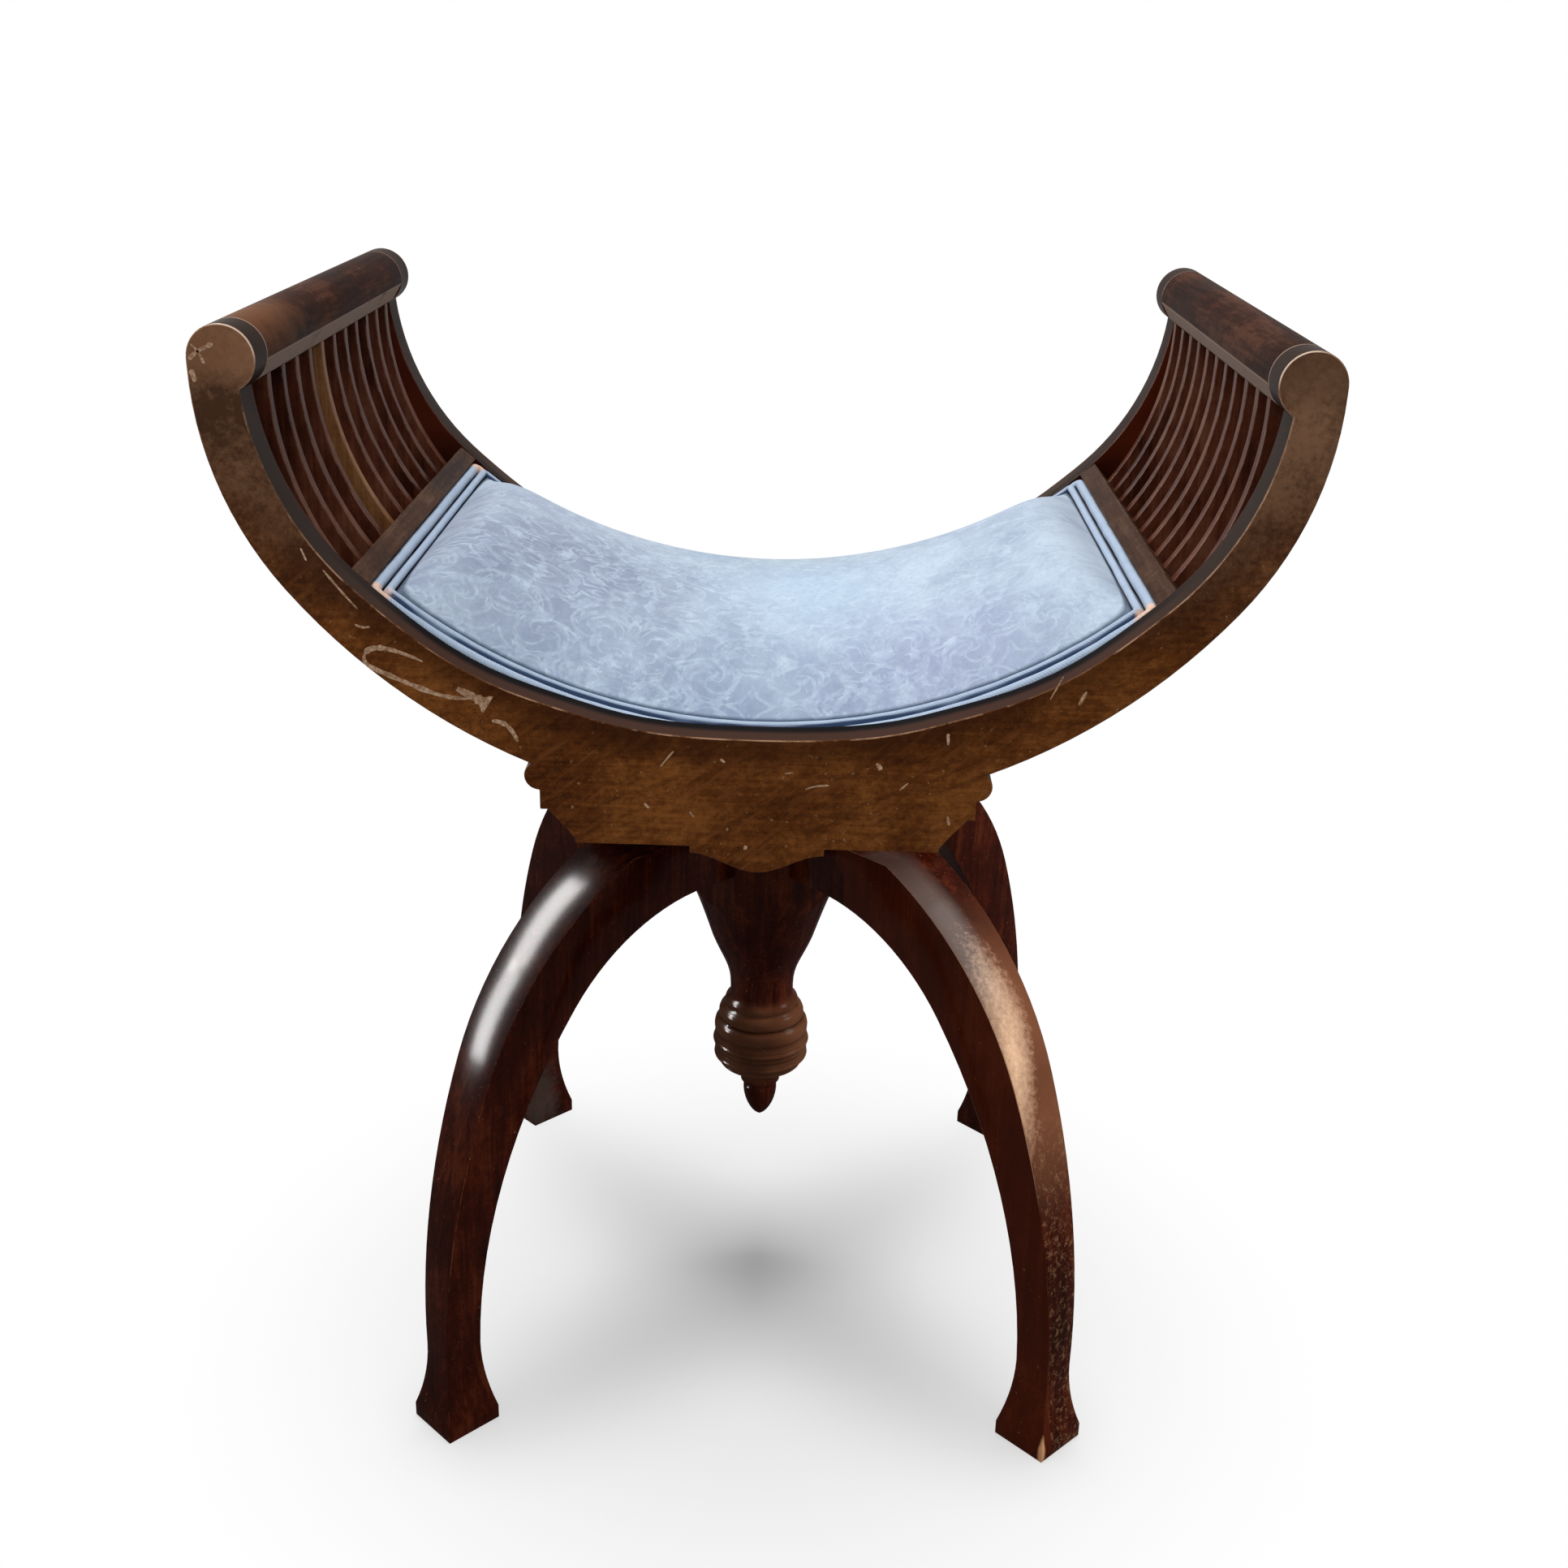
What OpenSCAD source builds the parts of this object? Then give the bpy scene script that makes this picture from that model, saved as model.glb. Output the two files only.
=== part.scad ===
// Revolving piano stool with a U-shaped slatted seat on a turned hub and four curved legs.
// Millimetres, +Z up, the front towards -Y, origin on the floor under the screw's axis.

/* [Overall] */
// Width over the two seat boards
seat_w = 565; // [530:5:600]
// Depth over the two seat boards
seat_d = 360; // [320:5:420]
// Height of the leg tops above the floor
leg_h = 342; // [320:2:380]

/* [Seat boards] */
// Thickness of the front and the back board
board_t = 22; // [16:1:28]
// Depth of the boards' outer curve below the place where it starts to turn in
outer_sag = 227; // [215:1:240]
// Angle, from the middle, at which the outer curve's foot arc turns into its side arcs
outer_turn = 50.7; // [46:0.1:56]
// Depth of the boards' inner curve below the place where it starts to turn in
inner_sag = 195; // [185:1:205]
// Angle, from the middle, at which the inner curve's foot arc turns into its side arcs
inner_turn = 40.45; // [38:0.05:43]
// Width of a board's face at the arms
face_w = 24; // [20:0.5:30]
// Width of a board's face at the bottom of the curve
face_foot_w = 37; // [30:1:44]

/* [Arm rolls] */
// Diameter of the round bar along each arm
roll_d = 34; // [28:1:40]
// Diameter of the round knob that ends each board
knob_d = 34; // [30:1:40]
// Height of the rolls' centres above the outer curve's turning point
roll_rise = 3.5; // [0:0.5:10]
// Width of the flat along the inner lower side of a roll
roll_flat_w = 11.4; // [8:0.2:14]
// Angle of that flat below the horizontal
roll_flat_tilt = 31; // [20:1:40]

/* [Apron] */
// Height of the apron's straight edge below the outer curve
apron_drop = 21; // [14:1:30]
// Width across the apron's rounded ears
apron_w = 247; // [220:1:270]
// Radius of each ear
ear_r = 8; // [6:0.5:10]
// Height of the ears' centres above the apron's straight edge
ear_h = 38; // [34:1:42]
// Width across the two fillets under the ears
fillet_w = 231; // [220:1:240]
// Height of the fillets' foot above the apron's straight edge
fillet_h = 19; // [14:1:24]
// Width of the step between a fillet and the slope under it
fillet_step = 4; // [2:0.5:6]
// Width of the apron's straight edge
apron_foot_w = 194; // [170:1:206]
// Width of the pointed drop in the middle
tip_w = 72; // [50:1:90]
// Depth of the pointed drop
tip_drop = 14.5; // [8:0.5:20]
// Depth of the small step at each end of the drop
tip_step = 4; // [1:0.5:5]

/* [Slats] */
// Number of slats in each arm
slat_count = 11; // [9:1:13]
// Thickness of a slat
slat_t = 7; // [5:0.5:9]
// Depth of a slat, square to its curve
slat_depth = 16; // [12:1:20]
// Radius of a slat's inner edge
slat_r = 168; // [140:1:220]
// Distance from a board to the middle of the nearest slat
slat_margin = 21.5; // [15:0.5:28]
// How far the slats' inner edges lie below the top of the cross rail
slat_set = 10; // [4:0.5:12]

/* [Cross rails] */
// Width of the cross rail's visible top
rail_w = 12.5; // [10:0.5:18]
// How far the seat pad runs up past the end of the boards' foot curve
seat_over = 1.5; // [0:0.5:4]
// Depth of the cross rail
rail_depth = 26; // [22:1:32]

/* [Seat pad] */
// Thickness of the curved panel under the cushion
panel_t = 9; // [6:0.5:12]
// Depth of the panel's top below the boards' inner curve
pad_depth = 16; // [12:0.5:18]
// Width of the fat welt along the border's outer edge
welt_d = 7; // [5:0.5:9]
// Diameter of the thin cord along the border's inner edge
cord_d = 5; // [3:0.5:6]
// Height of the inner curve above the top of the border
border_drop = 1; // [0:0.5:4]
// How far the thin cord stands above the welt
cord_lift = 2.5; // [0:0.5:4]
// Dark gap between the border and the boards
border_gap = 2; // [1:0.5:5]
// Height of the cushion's crown above its edge
crown_h = 44; // [24:1:50]
// Share of the crown's height lost from the middle to the ends
crown_fall_share = 0.3; // [0:0.05:0.5]
// How far the cushion's sides are drawn in under its edge
draw_in = 2.5; // [0:0.5:4]

/* [Seat base] */
// Thickness of the flat board under the seat
base_t = 14; // [10:1:18]
// Height of that board's underside above the apron's straight edge
base_lift = 3; // [0:0.5:6]
// Width of the flat board
base_w = 206; // [190:2:220]
// Width of each bearer between the flat board and the curved panel
bearer_w = 22; // [16:1:30]
// Distance from an end of the flat board to the middle of the bearer
bearer_inset = 28; // [16:1:36]

/* [Screw] */
// Diameter of the screw
screw_d = 20; // [16:0.5:24]
// How far the seat rises from its lowest place
rise = 100; // [60:5:105]
// Diameter of the iron flange under the seat
flange_d = 110; // [90:2:130]
// Thickness of the flange
flange_t = 6; // [4:0.5:8]
// Diameter of the flange's boss at its foot
boss_d = 38; // [34:1:44]
// Height of the boss below the flange
boss_h = 33; // [20:1:40]
// Gap between the boss and the nut plate at the lowest place
seat_gap = 2; // [0.5:0.5:6]
// Diameter of the nut plate on the hub
nut_plate_d = 84; // [76:1:86]
// Thickness of the nut plate
nut_plate_t = 5; // [3:0.5:8]
// Diameter of the nut's barrel in the hub
barrel_d = 34; // [30:1:38]
// Depth of the nut's barrel below the hub's top
barrel_h = 27; // [20:1:34]
// Running clearance of the screw in the nut, on the radius
screw_clear = 0.06; // [0.02:0.01:0.1]
// Diameter of the loose stop washer at the screw's foot
washer_d = 24; // [22:0.5:25]
// Thickness of the stop washer
washer_t = 4; // [2:0.5:6]
// Diameter of the journal that carries the washer
journal_d = 12; // [10:0.5:13]
// Width across the flats of the nut under the washer
end_nut_w = 18; // [16:0.5:20]
// Height of the nut under the washer
end_nut_h = 8; // [6:0.5:10]
// Diameter of the hole in the hub for the screw
well_d = 26.5; // [26:0.5:30]

/* [Hub] */
// Width of the hub across its four narrow faces
hub_w = 92; // [86:1:100]
// Width of the hub across the four faces that carry the legs
hub_leg_w = 88.4; // [84:0.2:94]
// Height of the hub's squared block
hub_block_h = 50; // [44:1:60]
// Length of the turned drop below the block
drop_h = 180; // [160:2:200]
// Diameter of the drop's neck
neck_d = 41; // [38:0.5:46]
// Diameter of the drop's ringed bulb
bulb_d = 61; // [54:1:68]

/* [Legs] */
// Distance from the axis to the outer side of a foot
leg_reach = 268; // [240:2:290]
// Width of a foot's square pad
foot_w = 36; // [30:1:42]
// Height of the foot's straight pad
foot_h = 9; // [6:0.5:12]
// Width of the ankle across the leg
ankle_w = 21; // [18:0.5:26]
// Depth of the ankle, outwards from the axis
ankle_t = 24; // [20:0.5:28]
// Height where the foot's flare ends
ankle_h = 45; // [36:1:56]
// Width across the leg at its top
leg_top_w = 41.5; // [34:0.5:41.5]
// Distance from the axis to the edge where the leg's top turns flat
shoulder_r = 124; // [110:1:140]
// Depth of the leg where it meets the hub
leg_root_t = 36; // [30:1:44]
// Radius of the outer curve along the shank
shank_r = 480; // [440:5:560]
// Radius of the outer curve near the top
crown_r = 200; // [180:2:220]
// Radius of the inner curve along the shank
inner_shank_r = 328; // [300:4:380]
// Radius of the inner curve near the hub
arch_r = 127; // [116:1:136]
// Thickness of the leg's tenon
tenon_t = 12; // [8:0.5:16]
// Length of the tenon inside the hub
tenon_l = 14; // [8:0.5:18]
// Height of the tenon
tenon_h = 22; // [14:1:28]

/* [Hidden] */
$fn = 96;
over = 1;          // overrun of cuts
mate = 0.3;        // clearance of soft pieces
end_play = 0.15;   // play of the stop washer on its journal
washer_clear = 0.06;
turn_clear = 0.5;  // space left between the stop washer and the nut at the highest place
fork = 4;          // sides of the hub and number of legs

// Plan of the heights, from the floor up
nut_top_z = leg_h + nut_plate_t;
boss_z = nut_top_z + seat_gap;
flange_z = boss_z + boss_h;
base_z = flange_z + flange_t;
apron_z = base_z - base_lift;
outer_foot_z = apron_z + apron_drop;
outer_spring_z = outer_foot_z + outer_sag;
inner_foot_z = outer_foot_z + face_foot_w;
inner_spring_z = inner_foot_z + inner_sag;
roll_z = outer_spring_z + roll_rise;
panel_z = base_z + base_t;

// Widths and radii of the two board curves
outer_half = seat_w / 2;
inner_half = outer_half - face_w;
function more_r(half, sag, turn) = (half - sag) / (sin(turn) + cos(turn) - 1);   // foot over side
outer_more_r = more_r(outer_half, outer_sag, outer_turn);
inner_more_r = more_r(inner_half, inner_sag, inner_turn);
outer_side_r = outer_half - outer_more_r * sin(outer_turn);
inner_side_r = inner_half - inner_more_r * sin(inner_turn);
outer_foot_r = outer_side_r + outer_more_r;
inner_foot_r = inner_side_r + inner_more_r;
inner_centre_z = inner_foot_z + inner_foot_r;
knob_x = outer_half - knob_d / 2;
span = seat_d - 2 * board_t;
reach = seat_w + seat_d;   // longer than anything it has to pass

// Points of an arm's section, on the right-hand side
along = [cos(inner_turn), sin(inner_turn)];
outward = [sin(inner_turn), -cos(inner_turn)];
rail_corner = [0, inner_centre_z] + inner_foot_r * outward + seat_over * along;
roll_r = roll_d / 2;
flat_half = asin(roll_flat_w / roll_d);
slat_top = [knob_x - roll_r * cos(roll_flat_tilt + flat_half), roll_z - roll_r * sin(roll_flat_tilt + flat_half)];
slat_foot = rail_corner + rail_w * along + slat_set * outward;

// Centre of the circle of radius r through a and b, to the left of the way from a to b
function through(a, b, r) =
    let (d = b - a, h = sqrt(r * r - (d * d) / 4))
    (a + b) / 2 + h * [-d[1], d[0]] / norm(d);
slat_c = through(slat_foot, slat_top, slat_r);

// Where two circles meet, on the left of the way from one centre to the other
function meet(a, ra, b, rb) =
    let (d = norm(b - a), u = (b - a) / d, s = (ra * ra - rb * rb + d * d) / (2 * d))
    a + s * u + sqrt(ra * ra - s * s) * [-u[1], u[0]];

// Cushion and its border
panel_r = inner_foot_r + pad_depth;
bearer_r = panel_r + panel_t;
border_w = welt_d + cord_d;
border_y = span / 2 - border_gap;
side_over = seat_over - mate;

// Screw and washer
barrel_z = leg_h - barrel_h;
washer_top_z = barrel_z - rise - turn_clear;
shoulder_z = washer_top_z + end_play;
washer_z = washer_top_z - washer_t;
end_nut_top_z = washer_z - end_play;
end_nut_z = end_nut_top_z - end_nut_h;
well_z = end_nut_z - end_nut_h;

// Legs
ankle_z = ankle_h + foot_h;
outer_ankle = leg_reach - (foot_w - ankle_t) / 2;
inner_ankle = outer_ankle - ankle_t;
shank_c = [outer_ankle - shank_r, ankle_z];
crown_c = meet([shoulder_r, leg_h], crown_r, shank_c, shank_r - crown_r);
arch_top = leg_h - leg_root_t;
inner_shank_c = [inner_ankle - inner_shank_r, ankle_z];
arch_c = [inner_shank_c[0] + sqrt(pow(inner_shank_r - arch_r, 2) - pow(arch_top - arch_r - ankle_z, 2)), arch_top - arch_r];
hub_leg_r = hub_leg_w / 2;

// A flat region left of the way from a to b, as wide as reach
module left_of(a, b) {
    u = (b - a) / norm(b - a);
    n = [-u[1], u[0]];
    polygon([a - reach * u, a + reach * u, a + reach * (u + n), a + reach * (n - u)]);
}

// Section between the two arms of a U: a foot of radius foot that turns into sides of radius side
module u_region(half, side, foot, turn) {
    c = [half - side, 0];
    f = [0, (foot - side) * cos(turn)];
    wing = reach * [sin(turn), -cos(turn)];
    joint = c + side * [sin(turn), -cos(turn)];
    away = joint * (reach / norm(joint));
    intersection() {
        translate(f)
            circle(r = foot);
        polygon([f, f + [-wing[0], wing[1]], f + wing]);
    }
    for (k = [0, 1])
        mirror([k, 0])
            intersection() {
                translate(c)
                    circle(r = side);
                polygon([[0, 0], away, [reach, away[1]], [reach, 0]]);
            }
    translate([-half, 0])
        square([2 * half, reach]);
}

// Half outline of the apron, from its middle to the ear on the right
function tip_depth(share) = tip_step + (tip_drop - tip_step) * (1 + cos(180 * share)) / 2;
tip_steps = 14;
tip_points = [for (i = [0 : tip_steps]) [tip_w / 2 * i / tip_steps, apron_z - tip_depth(i / tip_steps)]];
slope_steps = 6;
slope_top = fillet_w / 2 - fillet_step;
slope_w = slope_top - apron_foot_w / 2;
function slope_rise(share) = slope_foot + (fillet_h - slope_foot) * pow(share, slope_bend);
slope_foot = tip_step / 2;
slope_bend = 0.9;
slope_points = [for (i = [0 : slope_steps])
    [apron_foot_w / 2 + slope_w * i / slope_steps, apron_z + slope_rise(i / slope_steps)]];
apron_points = concat(
    [[tip_w / 2, apron_z], [apron_foot_w / 2, apron_z]],
    slope_points,
    [
        [fillet_w / 2, apron_z + fillet_h],
        [fillet_w / 2, apron_z + ear_h],
        [fillet_w / 2, outer_spring_z - outer_sag / 2],
        [0, outer_spring_z - outer_sag / 2]
    ]
);

module apron_2d() {
    for (k = [0, 1])
        mirror([k, 0]) {
            polygon(concat(tip_points, apron_points));
            translate([apron_w / 2 - ear_r, apron_z + ear_h])
                circle(r = ear_r);
        }
}

module board_2d() {
    difference() {
        union() {
            intersection() {
                translate([0, outer_spring_z])
                    u_region(outer_half, outer_side_r, outer_foot_r, outer_turn);
                translate([-reach, roll_z - reach])
                    square([2 * reach, reach]);
            }
            apron_2d();
        }
        translate([0, inner_spring_z])
            u_region(inner_half, inner_side_r, inner_foot_r, inner_turn);
    }
    for (k = [-1, 1])
        translate([k * knob_x, roll_z])
            circle(r = knob_d / 2);
}

// A plate of thickness t whose front face lies at y
module stand(y, t) {
    translate([0, y + t, 0])
        rotate([90, 0, 0])
            linear_extrude(t)
                children();
}

module front_board() {
    color("#5a3519")
        stand(-seat_d / 2, board_t)
            board_2d();
}

module back_board() {
    color("#5a3519")
        stand(seat_d / 2 - board_t, board_t)
            board_2d();
}

// Round bar with a flat on its inner lower side, for the right-hand arm
module roll_2d() {
    translate([knob_x, roll_z])
        difference() {
            circle(r = roll_r);
            rotate(180 + roll_flat_tilt)
                translate([roll_r * cos(flat_half), -roll_r])
                    square([roll_r, 2 * roll_r]);
        }
}

module rail_2d() {
    translate(rail_corner)
        rotate(inner_turn)
            translate([0, -rail_depth])
                square([rail_w, rail_depth]);
}

module slat_2d() {
    difference() {
        intersection() {
            translate(slat_c)
                difference() {
                    circle(r = slat_r + slat_depth);
                    circle(r = slat_r);
                }
            left_of(rail_corner + rail_w * along, rail_corner + rail_w * along + outward);
            polygon([slat_c, slat_c + [reach, roll_z - slat_c[1]], slat_c + [reach, -reach]]);
        }
        roll_2d();
    }
}

module arm_side(k) {
    mirror([k < 0 ? 1 : 0, 0, 0])
        children();
}

module roll(k) {
    color("#3f2016")
        arm_side(k)
            stand(-span / 2, span)
                roll_2d();
}

module rail(k) {
    color("#2a1a14")
        arm_side(k)
            stand(-span / 2, span)
                rail_2d();
}

slat_step = (span - 2 * slat_margin) / (slat_count - 1);

module slat(k, i) {
    color("#54291a")
        arm_side(k)
            stand(-span / 2 + slat_margin + (i - 1) * slat_step - slat_t / 2, slat_t)
                slat_2d();
}

// The part of a section between the two rails, with its edges moved outwards by out
module seat_wedge(out) {
    apex = [0, inner_centre_z + out / sin(inner_turn)];
    wing = reach * outward;
    polygon([apex, apex + [-wing[0], wing[1]], apex + wing]);
}

module seat_band(r_in, r_out) {
    intersection() {
        translate([0, inner_centre_z])
            difference() {
                circle(r = r_out);
                circle(r = r_in);
            }
        seat_wedge(seat_over);
    }
}

module seat_panel() {
    color("#3a2418")
        stand(-span / 2, span)
            seat_band(panel_r, bearer_r);
}

module bearer(k) {
    color("#3a2418")
        arm_side(k)
            stand(-span / 2, span)
                difference() {
                    translate([base_w / 2 - bearer_inset - bearer_w / 2, panel_z])
                        square([bearer_w, inner_foot_z - panel_z]);
                    translate([0, inner_centre_z])
                        circle(r = bearer_r);
                }
}

module seat_base() {
    color("#3a2418")
        translate([-base_w / 2, -span / 2, base_z])
            cube([base_w, span, base_t]);
}

// Cushion: a saddle whose top swells from its corded border to the crown
cushion_side = side_over - border_w - mate;
cushion_y = border_y - border_w - mate;
edge_level = inner_foot_r + border_drop - cord_lift + cord_d / 2;
floor_level = panel_r - mate;
end_share = 28;       // how steeply the crown turns down at its ends
depth_share = 2.7;    // how square the crown is from front to back
cols = 28;
rows = 14;
function bunch(share) = sin(90 * share);
function swell(u, v) =
    (1 - crown_fall_share * u * u) * (1 - pow(abs(u), end_share)) * (1 - pow(abs(v), depth_share));
function on_seat(u, v, level, tuck) =
    let (t = u * (inner_turn + asin((cushion_side - tuck) / level)), y = v * (cushion_y - tuck))
    [level * sin(t), y, inner_centre_z - level * cos(t)];
function top_at(i, j) =
    let (u = bunch(2 * i / cols - 1), v = bunch(2 * j / rows - 1))
    on_seat(u, v, edge_level - crown_h * swell(u, v), 0);
function low_at(i, j) = on_seat(bunch(2 * i / cols - 1), bunch(2 * j / rows - 1), floor_level, draw_in);
top_points = [for (i = [0 : cols]) for (j = [0 : rows]) top_at(i, j)];
low_points = [for (i = [0 : cols]) for (j = [0 : rows]) low_at(i, j)];
function spot(i, j) = i * (rows + 1) + j;
low0 = (cols + 1) * (rows + 1);
cushion_faces = concat(
    [for (i = [0 : cols - 1]) for (j = [0 : rows - 1]) [spot(i, j), spot(i, j + 1), spot(i + 1, j + 1)]],
    [for (i = [0 : cols - 1]) for (j = [0 : rows - 1]) [spot(i, j), spot(i + 1, j + 1), spot(i + 1, j)]],
    [for (i = [0 : cols - 1]) [low0 + spot(i, 0), low0 + spot(i + 1, 0), low0 + spot(i + 1, rows)]],
    [for (i = [0 : cols - 1]) [low0 + spot(i, 0), low0 + spot(i + 1, rows), low0 + spot(i, rows)]],
    [for (i = [0 : cols - 1]) [spot(i, 0), spot(i + 1, 0), low0 + spot(i + 1, 0)]],
    [for (i = [0 : cols - 1]) [spot(i, 0), low0 + spot(i + 1, 0), low0 + spot(i, 0)]],
    [for (i = [0 : cols - 1]) [spot(i, rows), low0 + spot(i + 1, rows), spot(i + 1, rows)]],
    [for (i = [0 : cols - 1]) [spot(i, rows), low0 + spot(i, rows), low0 + spot(i + 1, rows)]],
    [for (j = [0 : rows - 1]) [spot(0, j), low0 + spot(0, 0), spot(0, j + 1)]],
    [[spot(0, rows), low0 + spot(0, 0), low0 + spot(0, rows)]],
    [for (j = [0 : rows - 1]) [spot(cols, j), spot(cols, j + 1), low0 + spot(cols, 0)]],
    [[spot(cols, rows), low0 + spot(cols, rows), low0 + spot(cols, 0)]]
);

module cushion() {
    color("#a9b9cf")
        polyhedron(concat(top_points, low_points), cushion_faces);
}

// Border: a strip round the cushion made of a fat welt and a thin cord, side by side
module bead(x, d, high) {
    translate([x - d / 2, 0])
        square([d, high - d / 2]);
    translate([x, high - d / 2])
        circle(d = d);
}

module border_section(high) {
    bead(-welt_d / 2, welt_d, high);
    bead(-welt_d - cord_d / 2, cord_d, high + cord_lift);
}

border_r = panel_r - mate;
border_high = border_r - inner_foot_r - border_drop;
run_turn = inner_turn - asin((welt_d / 2 - side_over) / border_r);
lap = 0.4;            // how far the side strips stand above the long ones and stop short of them

module border_side(k) {
    arm_side(k)
        stand(lap - border_y, 2 * (border_y - lap))
            translate([0, inner_centre_z])
                rotate(inner_turn - 90)
                    translate([border_r - lap, side_over])
                        rotate(90)
                            border_section(border_high);
}

module border_run(k) {
    translate([0, 0, inner_centre_z])
        mirror([0, k < 0 ? 1 : 0, 0])
            rotate([-90, 0, 0])
                rotate([0, 0, 90 - run_turn])
                    rotate_extrude(angle = 2 * run_turn)
                        translate([border_r, border_y])
                            rotate(90)
                                border_section(border_high);
}

module cushion_border() {
    color("#8fa6c6") {
        border_run(1);
        border_run(-1);
        border_side(1);
        border_side(-1);
    }
}

module flange() {
    color("#2b2b2c")
        difference() {
            union() {
                translate([0, 0, flange_z])
                    cylinder(d = flange_d, h = flange_t);
                translate([0, 0, boss_z])
                    cylinder(d1 = boss_d, d2 = boss_d + flange_t, h = boss_h);
            }
            translate([0, 0, boss_z - over])
                cylinder(d = screw_d, h = boss_h + flange_t + 2 * over);
        }
}

module screw() {
    color("#4a4a4c") {
        translate([0, 0, shoulder_z])
            cylinder(d = screw_d, h = base_z - shoulder_z);
        translate([0, 0, end_nut_z])
            cylinder(d = journal_d, h = shoulder_z - end_nut_z);
    }
}

module end_nut() {
    color("#3a3a3c")
        translate([0, 0, end_nut_z])
            difference() {
                cylinder(r = end_nut_w / 2 / cos(30), h = end_nut_h, $fn = 6);
                translate([0, 0, -over])
                    cylinder(d = journal_d, h = end_nut_h + 2 * over);
            }
}

module stop_washer() {
    color("#6a6a6c")
        translate([0, 0, washer_z])
            difference() {
                cylinder(d = washer_d, h = washer_t);
                translate([0, 0, -over])
                    cylinder(d = journal_d + 2 * washer_clear, h = washer_t + 2 * over);
            }
}

module nut_plate() {
    color("#2b2b2c")
        difference() {
            union() {
                translate([0, 0, leg_h])
                    cylinder(d = nut_plate_d, h = nut_plate_t);
                translate([0, 0, barrel_z])
                    cylinder(d = barrel_d, h = barrel_h);
            }
            translate([0, 0, barrel_z - over])
                cylinder(d = screw_d + 2 * screw_clear, h = barrel_h + nut_plate_t + 2 * over);
        }
}

// Turned outline of the hub: shares of the bulb's radius and of the drop's length
block_z = leg_h - hub_block_h;
tip_z = block_z - drop_h;
neck_share = neck_d / bulb_d;
function bezier(a, b, c, d, n) =
    [for (i = [0 : n]) let (t = i / n, s = 1 - t)
        s * s * s * a + 3 * s * s * t * b + 3 * s * t * t * c + t * t * t * d];
turn_shares = concat(
    bezier([1.62, 1], [1.42, 0.93], [1.3, 0.87], [1.08, 0.755], 9),
    bezier([1.08, 0.755], [0.88, 0.665], [neck_share, 0.63], [neck_share, 0.545], 8),
    [[neck_share, 0.508], [0.72, 0.5]],
    bezier([0.72, 0.5], [0.8, 0.498], [0.8, 0.474], [0.76, 0.468], 4),
    bezier([0.83, 0.462], [0.92, 0.458], [0.93, 0.43], [0.9, 0.42], 4),
    [[0.87, 0.415], [0.95, 0.41]],
    bezier([0.95, 0.41], [1.02, 0.4], [1.02, 0.37], [0.98, 0.362], 4),
    [[0.95, 0.355], [1, 0.348], [1, 0.3], [0.96, 0.295], [0.96, 0.288]],
    bezier([1, 0.28], [0.98, 0.24], [0.72, 0.215], [0.46, 0.19], 7),
    [[0.39, 0.178], [0.42, 0.168], [0.42, 0.15], [0.32, 0.142], [0.32, 0.132], [0.36, 0.126]],
    bezier([0.36, 0.126], [0.38, 0.08], [0.24, 0.02], [0.05, 0], 8)
);
turn_points = [for (p = turn_shares) [p[0] * bulb_d / 2, tip_z + p[1] * drop_h]];

module hub() {
    color("#3a1710")
        difference() {
            intersection() {
                rotate_extrude()
                    polygon(concat([[0, tip_z]], [for (i = [len(turn_points) - 1 : -1 : 0]) turn_points[i]],
                        [[bulb_d, block_z], [bulb_d, leg_h], [0, leg_h]]));
                translate([-hub_w / 2, -hub_w / 2, tip_z - over])
                    cube([hub_w, hub_w, leg_h - tip_z + 2 * over]);
                rotate(180 / fork)
                    translate([-hub_leg_r, -hub_leg_r, tip_z - over])
                        cube([hub_leg_w, hub_leg_w, leg_h - tip_z + 2 * over]);
            }
            translate([0, 0, barrel_z])
                cylinder(d = barrel_d, h = barrel_h + over);
            translate([0, 0, well_z])
                cylinder(d = well_d, h = leg_h - well_z);
            for (k = [0 : fork - 1])
                rotate(180 / fork + k * 360 / fork)
                    tenon();
        }
}

module tenon() {
    translate([hub_leg_r - tenon_l, -tenon_t / 2, leg_h - leg_root_t / 2 - tenon_h / 2])
        cube([tenon_l + over, tenon_t, tenon_h]);
}

// Points along a circle of radius r about c, from angle a to angle b
function arc(c, r, a, b, n) = [for (i = [0 : n]) let (t = a + (b - a) * i / n) c + r * [cos(t), sin(t)]];
function angle_of(v) = atan2(v[1], v[0]);
arc_steps = 14;
cove_steps = 7;

// The hollow flare above a foot's straight pad, where the leg's width or depth is top
function flare_r(top) = let (h = (foot_w - top) / 2) (h * h + ankle_h * ankle_h) / (2 * h);
function flare(x, top) =
    let (r = flare_r(top), t = asin(ankle_h / r))
    arc([x + r, ankle_z], r, 180, 180 + t, cove_steps);

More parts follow.
